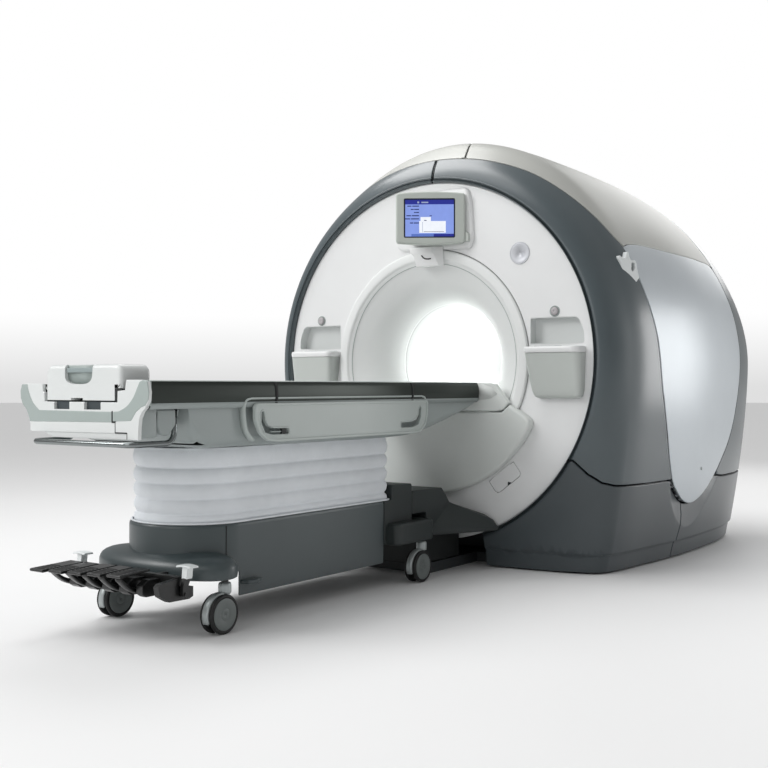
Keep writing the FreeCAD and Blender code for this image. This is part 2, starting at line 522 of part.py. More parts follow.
# Swivel castors: hood and yoke, and a pair of treads on one axle.
for end, y_key in (("foot", "castor_foot"), ("head", "castor_head")):
    for side, sx in (("right", 1), ("left", -1)):
        label = "%s_%s" % (end, side)
        x, y = sx * cell("castor_track"), -cell(y_key)
        yw = y - cell("castor_trail")
        r = cell("castor_radius")
        half = cell("hood_wide") / 2.0
        hood = Part.makeCylinder(r + 6, 2 * half, V(x - half, yw, r), V(1, 0, 0))
        hood = hood.cut(Part.makeBox(60, 300, 300, V(x - 30, yw - 150, r - 300 - 10)))
        hood = hood.cut(Part.makeBox(60, 300, 300, V(x - 30, yw + 150 - 128, r - 300 + 22)))
        neck = Part.makeCylinder(19, 36, V(x, y, 153), V(0, 0, 1))
        hood = hood.fuse([neck, Part.makeBox(2 * half, 44, 60, V(x - half, y - 30, 100))])
        bore = Part.makeCylinder(6.05, 60, V(x - 30, yw, r), V(1, 0, 0))
        ears = Part.makeCylinder(15, 2 * half, V(x - half, yw, r), V(1, 0, 0))
        stem = Part.makeCylinder(12, 2.0, V(x, y, 188.5), V(0, 0, 1))
        node(free("castor_fork_" + label, hood.fuse([ears, stem]).cut(bore).removeSplitter()), "castor_fork_" + label)
        tw = cell("tread_wide")
        treads = [Part.makeCylinder(r, tw, V(x + half + 1.5, yw, r), V(1, 0, 0)),
                  Part.makeCylinder(r, tw, V(x - half - 1.5 - tw, yw, r), V(1, 0, 0)),
                  Part.makeCylinder(6.0, 2 * half + 6, V(x - half - 3, yw, r), V(1, 0, 0))]
        node(free("castor_wheel_" + label, treads[0].fuse(treads[1:]).removeSplitter()), "castor_wheel_" + label)

# Foot pedals: a flat blade on a curved arm, hung on the shaft.
for i in range(5):
    x = -cell("pedal_first") + i * cell("pedal_pitch")
    w = cell("pedal_wide")
    blade = prism_x([(-2326, 236), (-2321, 230), (-2140, 242), (-2140, 250), (-2323, 246)], x - w / 2, x + w / 2)
    arm = prism_x([(-2300, 233), (-2262, 218), (-2215, 193), (-2165, 174), (-2100, 162), (-2092, 164), (-2088, 176),
                   (-2092, 188), (-2100, 190), (-2140, 190), (-2185, 206), (-2220, 236)], x - 9, x + 9)
    ped = blade.fuse(arm).cut(Part.makeCylinder(cell("pedal_shaft") + 0.06, 60, V(x - 30, -2100, 176), V(1, 0, 0)))
    node(free("foot_pedal_%d" % (i + 1), ped.removeSplitter()), "foot_pedal_%d" % (i + 1))
for side, sx in (("right", 1), ("left", -1)):
    tread = prism_y([(sx * 238, 271), (sx * 326, 271), (sx * 329, 279), (sx * 235, 279)], -2106, -2060)
    web = prism_x([(-2112, 176), (-2108, 166), (-2100, 164), (-2092, 166), (-2088, 176), (-2088, 200), (-2072, 240), (-2068, 273),
                   (-2098, 273), (-2102, 240), (-2112, 200)], sx * 286 - 7, sx * 286 + 7)
    web = web.cut(Part.makeCylinder(cell("pedal_shaft") + 0.06, 60, V(sx * 286 - 30, -2100, 176), V(1, 0, 0)))
    node(free("brake_pedal_" + side, tread.fuse(web).removeSplitter()), "brake_pedal_" + side)

# Bellows: a plain closed sleeve of the true outer size.
br, bhd, b0, b1 = cell("bellows_half"), cell("bellows_head"), cell("bellows_low"), cell("bellows_high")
node(free("bellows", stadium(br, -1757, -bhd, b0, b1).cut(stadium(br - 30, -1757, -bhd - 30, b0 - 5, b1 + 5))), "bellows")

# ---------------------------------------------------------------- table top
ch, cf = cell("channel_half"), cell("channel_floor")
tt = prism_y([(-340, 862), (-330, 850), (-ch, 850), (-ch, cf - 16), (ch, cf - 16), (ch, 850), (330, 850), (340, 862), (344, 900),
              (338, 940), (326, 950), (ch, 950), (ch, cf), (-ch, cf), (-ch, 950), (-326, 950), (-338, 940), (-344, 900)],
             -cell("table_foot"), -cell("table_head"))
for sx in (-1, 1):
    tt = tt.cut(prism_y([(sx * 253, 858), (sx * 326, 858), (sx * 334, 868), (sx * 336, 900), (sx * 331, 934), (sx * 322, 942),
                         (sx * 253, 942)], -2300, 0))
blocks = [Part.makeBox(25.6, 50, 96, V(318.2 if sx > 0 else -343.8, y, 762)) for sx in (1, -1) for y in (-1505, -905)]
mast = Part.makeBox(160, 560, 428, V(-80, -1530, 436)).cut(Part.makeBox(140, 540, 428, V(-70, -1520, 425)))
node(free("table_frame", tt.fuse([mast] + blocks).removeSplitter()), "table_frame")

# Hull below the top: side skirts that rise towards the gantry, with a deck over the bellows.
skirt_side = [(-2112, 849), (-2096, 776), (-2056, 722), (-1996, 700), (-700, 698), (-560, 712), (-400, 744), (-250, 785),
              (-120, 828), (-80, 849)]
hull_solid = prism_x(skirt_side, -318, 318)
hull_hole = prism_x([(-2100, 860), (-2085, 784), (-2048, 732), (-1992, 712), (-705, 710), (-564, 724), (-405, 757),
                     (-255, 798), (-130, 842), (-110, 860)], -306, 306)
# The opening in its floor lets the larger mast in when the top is lowered.
hull_cover = hull_solid.cut(hull_hole).cut(Part.makeBox(216, 626, 60, V(-108, -1563, 690)))
node(free("hull_cover", hull_cover), "hull_cover")

# Foot-end cap with a channel for the cradle's block.
capf = prism_y([(-345, 945), (-352, 905), (-345, 860), (-322, 820), (-310, 742), (310, 742), (322, 820), (345, 860),
                (352, 905), (345, 945), (322, 953), (255, 953), (236, 872), (-236, 872), (-255, 953), (-322, 953)], -2336, -2242)
capf = capf.cut(prism_y([(-296, 850), (-296, 736), (296, 736), (296, 850)], -2322, -2200))
pockets = [Part.makeBox(86, 60, 30, V(x, -2340, 845)) for x in (-130, 44)]
for p in pockets:
    capf = capf.cut(p)
node(free("end_cap", capf), "end_cap")

# Stainless tube handle round the foot end.
tr = cell("tube_radius")
path_pts = [V(286, -2150, 850), V(286, -2150, 726), V(286, -2352, 726), V(-286, -2352, 726), V(-286, -2150, 726), V(-286, -2150, 850)]


def bent(points, radius):
    edges, prev = [], points[0]
    for a, b, c in zip(points, points[1:], points[2:]):
        u, w = (a - b).normalize(), (c - b).normalize()
        half = u.getAngle(w) / 2.0
        t = radius / math.tan(half)
        p, q = b + u * t, b + w * t
        mid = b + (u + w).normalize() * (radius / math.sin(half) - radius)
        edges.append(Part.LineSegment(prev, p).toShape())
        edges.append(Part.Arc(p, mid, q).toShape())
        prev = q
    edges.append(Part.LineSegment(prev, points[-1]).toShape())
    return Part.Wire(edges)


spine = bent(path_pts, 40)
ring = Part.Wire([Part.Circle(path_pts[0], V(0, 0, -1), tr).toShape()])
node(free("tube_handle", spine.makePipeShell([ring], True, False)), "tube_handle")

# Side rails: flat panels with two curved hand slots, sliding up on guides.
def rail():
    panel = prism_x([(-1800, 866), (-585, 866), (-585, 790), (-612, 738), (-665, 712), (-1690, 712), (-1760, 738), (-1800, 800)], 350, 364)
    for y, d in ((-1760, 1), (-625, -1)):
        a = prism_x([(y, 850), (y + d * 22, 850), (y + d * 26, 806), (y + d * 62, 770), (y + d * 150, 764), (y + d * 150, 742),
                     (y + d * 60, 742), (y + d * 14, 778), (y, 812)], 330, 380)
        panel = panel.cut(a)
    guides = [Part.makeBox(6, 40, 150, V(344.5, y, 716)) for y in (-1500, -900)]
    return panel.fuse(guides).removeSplitter()


rr = rail()
node(free("side_rail_right", rr), "side_rail_right")
node(free("side_rail_left", mirror_x(rr)), "side_rail_left")

# Cradle: the moving board, slightly dished, and its end block.
cradle_pts = [(-215, 890), (215, 890), (215, 940), (190, 936), (110, 922), (0, 917), (-110, 922), (-190, 936), (-215, 940)]
node(free("cradle_board", prism_y(cradle_pts, -cell("cradle_foot"), -cell("cradle_head"))), "cradle_board")
blk = prism_y([(-207, 946), (-207, 1000), (-190, 1012), (190, 1012), (207, 1000), (207, 946), (186, 878), (-186, 878)], -2326, -2180)
blk = blk.cut(Part.makeBox(500, 140, 88, V(-250, -2242, 799)))
grip = prism_x([(-2340, 1030), (-2340, 965), (-2296, 972), (-2290, 1030)], -62, 62)
blk = blk.cut(grip)
node(free("cradle_block", blk), "cradle_block")

# ---------------------------------------------------------------- test and write
doc.recompute()
bad = []
for o in doc.Objects:
    if "Invalid" in o.State or "Error" in o.State:
        bad.append("%s: %s" % (o.Label, o.State))
labels = set()
for o in NODES:
    s = o.Shape
    if s.isNull() or not s.isValid() or s.Volume < 1:
        bad.append("%s: shape is null or not valid" % o.Label)
    if o.Label in labels:
        bad.append("%s: label used twice" % o.Label)
    labels.add(o.Label)
if bad:
    raise RuntimeError("; ".join(bad))
os.makedirs("parts", exist_ok=True)
for o in NODES:
    o.Shape.exportStep("parts/%s.step" % o.Label)
    bb = o.Shape.BoundBox
    print("%-26s solids %d  volume %9.0f cm3  x %.0f..%.0f y %.0f..%.0f z %.0f..%.0f" % (
        o.Label, len(o.Shape.Solids), o.Shape.Volume / 1000.0, bb.XMin, bb.XMax, bb.YMin, bb.YMax, bb.ZMin, bb.ZMax))
print("nodes", len(NODES))
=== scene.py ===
import math

import bmesh
import bpy
import numpy as np
from mathutils import Matrix, Vector


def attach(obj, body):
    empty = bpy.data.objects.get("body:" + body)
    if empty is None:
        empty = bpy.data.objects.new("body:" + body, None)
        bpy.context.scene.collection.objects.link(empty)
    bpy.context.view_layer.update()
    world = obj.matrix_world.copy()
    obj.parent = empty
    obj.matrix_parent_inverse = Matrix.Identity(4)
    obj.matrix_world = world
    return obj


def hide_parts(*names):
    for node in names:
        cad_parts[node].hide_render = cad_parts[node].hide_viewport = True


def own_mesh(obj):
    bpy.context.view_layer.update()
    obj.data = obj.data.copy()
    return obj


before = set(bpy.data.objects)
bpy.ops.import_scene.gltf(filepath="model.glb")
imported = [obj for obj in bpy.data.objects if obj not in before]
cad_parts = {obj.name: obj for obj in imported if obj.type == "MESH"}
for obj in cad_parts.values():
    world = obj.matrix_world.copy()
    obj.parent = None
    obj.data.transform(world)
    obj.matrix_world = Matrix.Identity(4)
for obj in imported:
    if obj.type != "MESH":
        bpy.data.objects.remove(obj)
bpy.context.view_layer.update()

# A magnetic resonance scanner with its patient table docked. Metres. The origin is on
# the floor under the bore axis in the plane of the front disc; +Y runs into the gantry.

ZC = 1.064
SCN = bpy.context.scene
COL = SCN.collection


# ------------------------------------------------------------------ materials
def material(name, color, rough=0.35, metal=0.0, spec=0.5, coat=0.0, coat_rough=0.12, tint=0.05, grain=0.0,
             grain_size=0.0015, patch=0.35, rough_var=0.06, stretch=None, weave=None, sheen=0.0, subsurface=0.0):
    """Procedural finish. tint: how far the colour drifts; grain: bump depth; stretch: noise scale per axis."""
    m = bpy.data.materials.new(name)
    m.use_nodes = True
    nt = m.node_tree
    nt.nodes.clear()
    out = nt.nodes.new("ShaderNodeOutputMaterial")
    b = nt.nodes.new("ShaderNodeBsdfPrincipled")
    nt.links.new(b.outputs["BSDF"], out.inputs["Surface"])
    b.inputs["Metallic"].default_value = metal
    b.inputs["Specular IOR Level"].default_value = spec
    b.inputs["Coat Weight"].default_value = coat
    b.inputs["Coat Roughness"].default_value = coat_rough
    b.inputs["Sheen Weight"].default_value = sheen
    b.inputs["Sheen Roughness"].default_value = 0.5
    if subsurface:
        b.inputs["Subsurface Weight"].default_value = subsurface
        b.inputs["Subsurface Radius"].default_value = (0.02, 0.02, 0.02)
    tc = nt.nodes.new("ShaderNodeTexCoord")
    src = tc.outputs["Object"]
    if stretch:
        mp = nt.nodes.new("ShaderNodeMapping")
        mp.inputs["Scale"].default_value = stretch
        nt.links.new(src, mp.inputs["Vector"])
        src = mp.outputs["Vector"]
    # broad drift of tone and gloss, as in moulded and sprayed panels
    n1 = nt.nodes.new("ShaderNodeTexNoise")
    n1.inputs["Scale"].default_value = 1.0 / patch
    n1.inputs["Detail"].default_value = 4.0
    n1.inputs["Roughness"].default_value = 0.6
    nt.links.new(src, n1.inputs["Vector"])
    ramp = nt.nodes.new("ShaderNodeValToRGB")
    c = np.array(color[:3], float)
    lo, hi = c * (1 - tint), np.minimum(c * (1 + tint), 1.0)
    ramp.color_ramp.elements[0].position = 0.3
    ramp.color_ramp.elements[1].position = 0.7
    ramp.color_ramp.elements[0].color = (*lo, 1)
    ramp.color_ramp.elements[1].color = (*hi, 1)
    nt.links.new(n1.outputs["Fac"], ramp.inputs["Fac"])
    nt.links.new(ramp.outputs["Color"], b.inputs["Base Color"])
    # fine grain drives the gloss and the bump
    n2 = nt.nodes.new("ShaderNodeTexNoise")
    n2.inputs["Scale"].default_value = 1.0 / max(grain_size, 1e-4)
    n2.inputs["Detail"].default_value = 2.0
    nt.links.new(src, n2.inputs["Vector"])
    mr = nt.nodes.new("ShaderNodeMapRange")
    mr.inputs["To Min"].default_value = max(0.02, rough - rough_var)
    mr.inputs["To Max"].default_value = min(1.0, rough + rough_var)
    nt.links.new((n2 if grain else n1).outputs["Fac"], mr.inputs["Value"])
    nt.links.new(mr.outputs["Result"], b.inputs["Roughness"])
    height = None
    if grain:
        height = n2.outputs["Fac"]
    if weave:
        w = nt.nodes.new("ShaderNodeTexWave")
        w.wave_type = "BANDS"
        w.bands_direction = "DIAGONAL"
        w.inputs["Scale"].default_value = 1.0 / weave
        w.inputs["Distortion"].default_value = 1.5
        nt.links.new(src, w.inputs["Vector"])
        if height is not None:
            ad = nt.nodes.new("ShaderNodeMath")
            ad.operation = "ADD"
            nt.links.new(height, ad.inputs[0])
            nt.links.new(w.outputs["Fac"], ad.inputs[1])
            height = ad.outputs[0]
        else:
            height = w.outputs["Fac"]
    if height is not None:
        bp = nt.nodes.new("ShaderNodeBump")
        bp.inputs["Strength"].default_value = 0.6
        bp.inputs["Distance"].default_value = grain
        nt.links.new(height, bp.inputs["Height"])
        nt.links.new(bp.outputs["Normal"], b.inputs["Normal"])
    return m


def glow(name, color, strength, rough=0.2):
    """Self-lit panel colour, with a faint pixel-like drift of tone."""
    m = material(name, color, rough=rough, tint=0.05, patch=0.05, rough_var=0.03)
    nt = m.node_tree
    b = next(n for n in nt.nodes if n.type == "BSDF_PRINCIPLED")
    r = next(n for n in nt.nodes if n.type == "VALTORGB")
    nt.links.new(r.outputs["Color"], b.inputs["Emission Color"])
    for link in list(b.inputs["Base Color"].links):
        nt.links.remove(link)
    b.inputs["Base Color"].default_value = (0.012, 0.014, 0.02, 1)
    b.inputs["Emission Strength"].default_value = strength
    return m


def lin(r, g, b):
    """Display values 0..255 as linear colour."""
    out = []
    for v in (r, g, b):
        v /= 255.0
        out.append(v / 12.92 if v <= 0.04045 else ((v + 0.055) / 1.055) ** 2.4)
    return tuple(out)


M = {
    "white": material("white_gloss", lin(217, 220, 219), rough=0.32, coat=0.25, tint=0.015, grain=0.00002, rough_var=0.05),
    "disc": material("disc_white", lin(232, 233, 233), rough=0.36, coat=0.2, tint=0.02, grain=0.00002, rough_var=0.05),
    "bell": material("bell_white", lin(231, 233, 232), rough=0.42, coat=0.1, tint=0.02, grain=0.00002, rough_var=0.06),
    "bezel": material("bezel_slate", lin(74, 84, 88), rough=0.34, coat=0.35, coat_rough=0.22, tint=0.05, grain=0.00003, rough_var=0.05),
    "lower": material("lower_slate", lin(58, 66, 70), rough=0.36, coat=0.3, coat_rough=0.25, tint=0.06, grain=0.00003, rough_var=0.05),
    "top": material("top_silver", lin(180, 181, 176), rough=0.42, metal=0.08, coat=0.15, coat_rough=0.3, tint=0.03, grain=0.00003, rough_var=0.05),
    "panel": material("panel_silver", lin(192, 199, 204), rough=0.36, metal=0.2, coat=0.3, coat_rough=0.25, tint=0.025, grain=0.00003, rough_var=0.05),
    "housing": material("housing_grey", lin(188, 194, 188), rough=0.5, tint=0.03, grain=0.00012, grain_size=0.0012, rough_var=0.08),
    "fitting": material("fitting_white", lin(226, 230, 230), rough=0.45, tint=0.02, grain=0.00006, grain_size=0.001, rough_var=0.06),
    "apron": material("apron_grey", lin(214, 218, 215), rough=0.38, coat=0.15, tint=0.025, grain=0.00003, rough_var=0.06),
    "dock": material("dock_dark", lin(42, 48, 48), rough=0.5, tint=0.08, grain=0.0001, grain_size=0.0014, rough_var=0.1),
    "base": material("base_slate", lin(59, 69, 71), rough=0.4, coat=0.25, coat_rough=0.3, tint=0.05, grain=0.00004, rough_var=0.06),
    "black": material("pedal_black", lin(15, 16, 16), rough=0.36, coat=0.2, tint=0.15, grain=0.00008, grain_size=0.002, rough_var=0.1),
    "rubber": material("tread_rubber", lin(16, 17, 17), rough=0.58, tint=0.12, grain=0.0001, grain_size=0.0012, rough_var=0.12),
    "hub": material("castor_hub", lin(106, 112, 111), rough=0.5, tint=0.06, grain=0.00008, grain_size=0.0012, rough_var=0.08),
    "hood": material("castor_silver", lin(168, 174, 174), rough=0.42, metal=0.4, tint=0.05, grain=0.00004, rough_var=0.08),
    "steel": material("tube_steel", lin(132, 137, 137), rough=0.18, metal=1.0, tint=0.05, grain=0.00002, stretch=(1, 1, 1), rough_var=0.06),
    "iron": material("frame_iron", lin(56, 60, 62), rough=0.55, tint=0.1, grain=0.0001, grain_size=0.003, rough_var=0.1),
    "vessel": material("vessel_steel", lin(170, 172, 174), rough=0.4, metal=0.9, tint=0.06, stretch=(4, 0.4, 4), rough_var=0.1),
    "resin": material("coil_resin", lin(160, 130, 90), rough=0.55, tint=0.12, patch=0.1, rough_var=0.1),
    "extrusion": material("table_extrusion", lin(43, 49, 45), rough=0.32, metal=0.6, tint=0.05, grain=0.00003, grain_size=0.002,
                          stretch=(6, 0.25, 6), rough_var=0.08),
    "hull": material("hull_grey", lin(150, 158, 157), rough=0.42, coat=0.15, coat_rough=0.3, tint=0.03, grain=0.00004, rough_var=0.06),
    "rail": material("rail_grey", lin(176, 184, 181), rough=0.4, coat=0.15, coat_rough=0.3, tint=0.03, grain=0.00004, rough_var=0.06),
    "band": material("band_grey", lin(160, 170, 167), rough=0.45, tint=0.03, grain=0.00005, rough_var=0.06),
    "bellows": material("bellows_fabric", lin(228, 232, 236), rough=0.6, tint=0.04, grain=0.00025, grain_size=0.004, weave=0.004,
                        patch=0.25, sheen=0.1, rough_var=0.1),
    "piping": material("bellows_piping", lin(226, 230, 234), rough=0.45, tint=0.03, grain=0.0001, rough_var=0.06),
    # near black: own colour of seams, joints, latches and the light box window, and also painted shade on the dock's
    # lower core and beside the cradle block
    "dark": material("dark_joints_and_painted_shade", lin(30, 34, 34), rough=0.6, tint=0.1, grain=0.00005, rough_var=0.1),
    "button": material("button_grey", lin(176, 172, 174), rough=0.4, tint=0.04, grain=0.00004, rough_var=0.06),
    "badge": material("blank_plate", lin(198, 200, 205), rough=0.38, metal=0.2, tint=0.05, grain=0.00003, rough_var=0.06),
    "strap": material("strap_black", lin(20, 22, 22), rough=0.7, tint=0.1, grain=0.0001, weave=0.003, rough_var=0.1),
    "cradle": material("cradle_dark", lin(66, 74, 72), rough=0.5, tint=0.06, grain=0.00006, grain_size=0.002, rough_var=0.08),
    "keypad": material("keypad_grey", lin(150, 156, 156), rough=0.45, tint=0.05, grain=0.00005, rough_var=0.06),
    # pod body: a grey darker than the white desk top on it, painted shade from the light above
    "pod": material("pod_shell_painted_shade", lin(192, 197, 193), rough=0.42, coat=0.1, tint=0.02, grain=0.00003, rough_var=0.06),
    # niche liner: the disc's white made a little darker, painted shade inside the recess
    "niche": material("niche_grey_painted_shade", lin(214, 217, 216), rough=0.5, tint=0.02, grain=0.00004, rough_var=0.06),
    "band2": material("band_deep_grey", lin(142, 154, 154), rough=0.45, tint=0.03, grain=0.00005, rough_var=0.06),
    "pocket": material("pocket_grey", lin(58, 66, 70), rough=0.5, tint=0.08, grain=0.00005, rough_var=0.08),
    "frame_blue": material("screen_surround", lin(22, 30, 58), rough=0.3, tint=0.08, patch=0.05, rough_var=0.04),
    "blue_field": glow("screen_field", lin(132, 154, 226), 1.0),
    "blue_bar": glow("screen_bar", lin(24, 34, 138), 1.0),
    "blue_mid": glow("screen_mid", lin(86, 112, 190), 1.0),
    "blue_row": glow("screen_rows", lin(30, 42, 96), 1.0),
    "screen_white": glow("screen_box_white", lin(240, 244, 252), 1.0),
    "screen_grey": glow("screen_box_grey", lin(150, 162, 190), 1.0),
}


# ------------------------------------------------------------------ mesh tools
def finish_object(ob, body, mat, replaces=(), slot=None):
    ob.data.materials.clear()
    for one in (mat if isinstance(mat, (list, tuple)) else [mat]):
        ob.data.materials.append(M[one])
    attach(ob, body)
    if replaces:
        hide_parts(*([replaces] if isinstance(replaces, str) else replaces))
    return ob


def mesh_object(name, verts, faces, normals=None, sharp=38.0):
    me = bpy.data.meshes.new(name)
    me.from_pydata([tuple(map(float, v)) for v in verts], [], [tuple(int(i) for i in f) for f in faces])
    me.update()
    ob = bpy.data.objects.new(name, me)
    COL.objects.link(ob)
    me.polygons.foreach_set("use_smooth", [True] * len(me.polygons))
    if normals is not None:
        me.normals_split_custom_set_from_vertices([tuple(map(float, n)) for n in normals])
    elif sharp:
        me.set_sharp_from_angle(angle=math.radians(sharp))
    return ob


def bake(ob):
    """Apply the modifiers for good."""
    dg = bpy.context.evaluated_depsgraph_get()
    me = bpy.data.meshes.new_from_object(ob.evaluated_get(dg), preserve_all_data_layers=True, depsgraph=dg)
    old = ob.data
    ob.modifiers.clear()
    ob.data = me
    if old.users == 0:
        bpy.data.meshes.remove(old)
    return ob


def from_bm(name, bm, bevel=0.0, seg=3, angle=32.0, sharp=38.0, weighted=True):
    bmesh.ops.recalc_face_normals(bm, faces=bm.faces)
    me = bpy.data.meshes.new(name)
    bm.to_mesh(me)
    bm.free()
    ob = bpy.data.objects.new(name, me)
    COL.objects.link(ob)
    me.polygons.foreach_set("use_smooth", [True] * len(me.polygons))
    if bevel:
        b = ob.modifiers.new("bevel", "BEVEL")
        b.width = bevel
        b.segments = seg
        b.limit_method = "ANGLE"
        b.angle_limit = math.radians(angle)
        b.harden_normals = False
    if bevel or weighted:
        bake(ob)
        ob.data.polygons.foreach_set("use_smooth", [True] * len(ob.data.polygons))
        ob.data.set_sharp_from_angle(angle=math.radians(sharp))
    if weighted:
        w = ob.modifiers.new("weighted", "WEIGHTED_NORMAL")
        w.keep_sharp = True
        w.weight = 80
        bake(ob)
    return ob


def prism_bm(axis, pts, lo, hi):
    """Closed polygon run along an axis. axis x: (y, z); y: (x, z); z: (x, y)."""
    bm = bmesh.new()

    def at(a, b, t):
        return {"x": (t, a, b), "y": (a, t, b), "z": (a, b, t)}[axis]
    low = [bm.verts.new(at(a, b, lo)) for a, b in pts]
    high = [bm.verts.new(at(a, b, hi)) for a, b in pts]
    n = len(pts)
    bm.faces.new(low)
    bm.faces.new(high[::-1])
    for i in range(n):
        j = (i + 1) % n
        bm.faces.new((low[j], low[i], high[i], high[j]))
    return bm


def prism(name, axis, pts, lo, hi, bevel=0.004, seg=3, **k):
    return from_bm(name, prism_bm(axis, pts, lo, hi), bevel, seg, **k)


def block(name, x, y, z, bevel=0.004, seg=3, **k):
    return prism(name, "z", [(x[0], y[0]), (x[1], y[0]), (x[1], y[1]), (x[0], y[1])], z[0], z[1], bevel, seg, **k)


def inset(pts, d):
    """Closed polygon moved inwards (or outwards for d < 0) by its corner bisectors."""
    A = np.array(pts, float)
    area = 0.5 * np.sum(A[:, 0] * np.roll(A[:, 1], -1) - np.roll(A[:, 0], -1) * A[:, 1])
    s = 1 if area > 0 else -1
    e0 = A - np.roll(A, 1, 0)
    e1 = np.roll(A, -1, 0) - A
    n0 = unit(np.stack([-e0[:, 1], e0[:, 0]], 1)) * s
    n1 = unit(np.stack([-e1[:, 1], e1[:, 0]], 1)) * s
    m = unit(n0 + n1)
    c = np.maximum((m * n0).sum(1), 0.35)
    return [tuple(q) for q in A + m * (d / c)[:, None]]


def pillow(name, axis, pts, lo, hi, r_lo=0.01, r_hi=0.0, n=6, sharp=50.0):
    """Prism whose end faces are rounded over by r_lo and r_hi."""
    rows = []
    for k in range(n + 1 if r_lo else 1):
        a = math.pi / 2 * k / n
        rows.append((lo + r_lo * (1 - math.cos(a)), r_lo * (1 - math.sin(a))))
    for k in range(n + 1 if r_hi else 1):
        a = math.pi / 2 * (1 - k / n)
        rows.append((hi - r_hi * (1 - math.cos(a)), r_hi * (1 - math.sin(a))))
    loops = []
    for t, d in rows:
        q = inset(pts, d) if d > 1e-7 else pts
        loops.append([{"x": (t, a, b), "y": (a, t, b), "z": (a, b, t)}[axis] for a, b in q])
    return loops_object(name, loops, sharp=sharp)


def hull_of(name, pts, bevel=0.006, seg=3, sharp=40.0):
    """Convex solid round a few corner points, with its edges rounded."""
    bm = bmesh.new()
    for p in pts:
        bm.verts.new(p)
    bmesh.ops.convex_hull(bm, input=bm.verts)
    bmesh.ops.dissolve_limit(bm, angle_limit=math.radians(1.0), verts=bm.verts, edges=bm.edges)
    return from_bm(name, bm, bevel, seg, angle=12.0, sharp=sharp)


def fillet(pts, radii, step=12.0):
    """Closed polygon with its corners rounded; radii is one number or one for each corner."""
    n = len(pts)
    if not isinstance(radii, (list, tuple)):
        radii = [radii] * n
    out = []
    for i in range(n):
        a, b, c = (np.array(pts[(i + k) % n], float) for k in (-1, 0, 1))
        r = radii[i]
        u, w = a - b, c - b
        lu, lw = np.linalg.norm(u), np.linalg.norm(w)
        u, w = u / lu, w / lw
        cosv = float(np.clip(u @ w, -1, 1))
        half = math.acos(cosv) / 2
        if r <= 0 or half > math.radians(88):
            out.append(tuple(b))
            continue
        t = min(r / math.tan(half), 0.49 * lu, 0.49 * lw)
        r = t * math.tan(half)
        p, q = b + u * t, b + w * t
        bis = (u + w) / np.linalg.norm(u + w)
        centre = b + bis * (r / math.sin(half))
        a0 = math.atan2(*(p - centre)[::-1])
        a1 = math.atan2(*(q - centre)[::-1])
        d = (a1 - a0 + math.pi) % (2 * math.pi) - math.pi
        k = max(2, int(abs(math.degrees(d)) / step))
        for j in range(k + 1):
            ang = a0 + d * j / k
            out.append((centre[0] + r * math.cos(ang), centre[1] + r * math.sin(ang)))
    return out


def spline_pts(pts, per=8, closed=False):
    """Smooth curve through points (Catmull-Rom, centripetal)."""
    P = [np.array(p, float) for p in pts]
    n = len(P)
    out = []
    rng = n if closed else n - 1
    for i in range(rng):
        p0 = P[(i - 1) % n] if (closed or i > 0) else 2 * P[0] - P[1]
        p1, p2 = P[i], P[(i + 1) % n]
        p3 = P[(i + 2) % n] if (closed or i + 2 < n) else 2 * P[-1] - P[-2]
        t = [0.0]
        for a, b in ((p0, p1), (p1, p2), (p2, p3)):
            t.append(t[-1] + max(np.linalg.norm(b - a), 1e-9) ** 0.5)
        for k in range(per):
            x = t[1] + (t[2] - t[1]) * k / per
            a1 = (t[1] - x) / (t[1] - t[0]) * p0 + (x - t[0]) / (t[1] - t[0]) * p1
            a2 = (t[2] - x) / (t[2] - t[1]) * p1 + (x - t[1]) / (t[2] - t[1]) * p2
            a3 = (t[3] - x) / (t[3] - t[2]) * p2 + (x - t[2]) / (t[3] - t[2]) * p3
            b1 = (t[2] - x) / (t[2] - t[0]) * a1 + (x - t[0]) / (t[2] - t[0]) * a2
            b2 = (t[3] - x) / (t[3] - t[1]) * a2 + (x - t[1]) / (t[3] - t[1]) * a3
            out.append(tuple((t[2] - x) / (t[2] - t[1]) * b1 + (x - t[1]) / (t[2] - t[1]) * b2))
    if not closed:
        out.append(tuple(P[-1]))
    return out


def loops_object(name, loops, cap=(True, True), closed=True, sharp=38.0, weighted=False, ring=False):
    """Skin over loops of equally many points."""
    n = len(loops[0])
    verts = [p for lp in loops for p in lp]
    faces = []
    m = len(loops)
    for i in range(m if ring else m - 1):
        a, b = i * n, ((i + 1) % m) * n
        for j in range(n if closed else n - 1):
            k = (j + 1) % n
            faces.append((a + j, a + k, b + k, b + j))
    if not ring and closed:
        if cap[0]:
            faces.append(tuple(range(n))[::-1])
        if cap[1]:
            faces.append(tuple(range((m - 1) * n, m * n)))
    bm = bmesh.new()
    vs = [bm.verts.new(tuple(map(float, v))) for v in verts]
    for f in faces:
        try:
            bm.faces.new([vs[i] for i in f])
        except ValueError:
            pass
    bmesh.ops.remove_doubles(bm, verts=bm.verts, dist=1e-6)
    return from_bm(name, bm, 0.0, sharp=sharp, weighted=weighted)


def revolve(name, profile, segs=160, centre=(0.0, ZC), closed=True, sharp=30.0, arc=None):
    """Turn (radius, y) points round the bore axis."""
    if arc is None:
        angs = [2 * math.pi * i / segs for i in range(segs)]
        ring = True
    else:
        a0, a1 = map(math.radians, arc)
        angs = [a0 + (a1 - a0) * i / segs for i in range(segs + 1)]
        ring = False
    loops = [[(centre[0] + r * math.cos(a), y, centre[1] + r * math.sin(a)) for r, y in profile] for a in angs]
    return loops_object(name, loops, closed=closed, ring=ring, sharp=sharp)


def turn_x(name, profile, at, segs=48, sharp=30.0):
    """Turn (radius, x) points round an axis along X through at (y, z)."""
    loops = []
    for i in range(segs):
        a = 2 * math.pi * i / segs
        loops.append([(x, at[0] + r * math.cos(a), at[1] + r * math.sin(a)) for r, x in profile])
    return loops_object(name, loops, closed=True, ring=True, sharp=sharp)


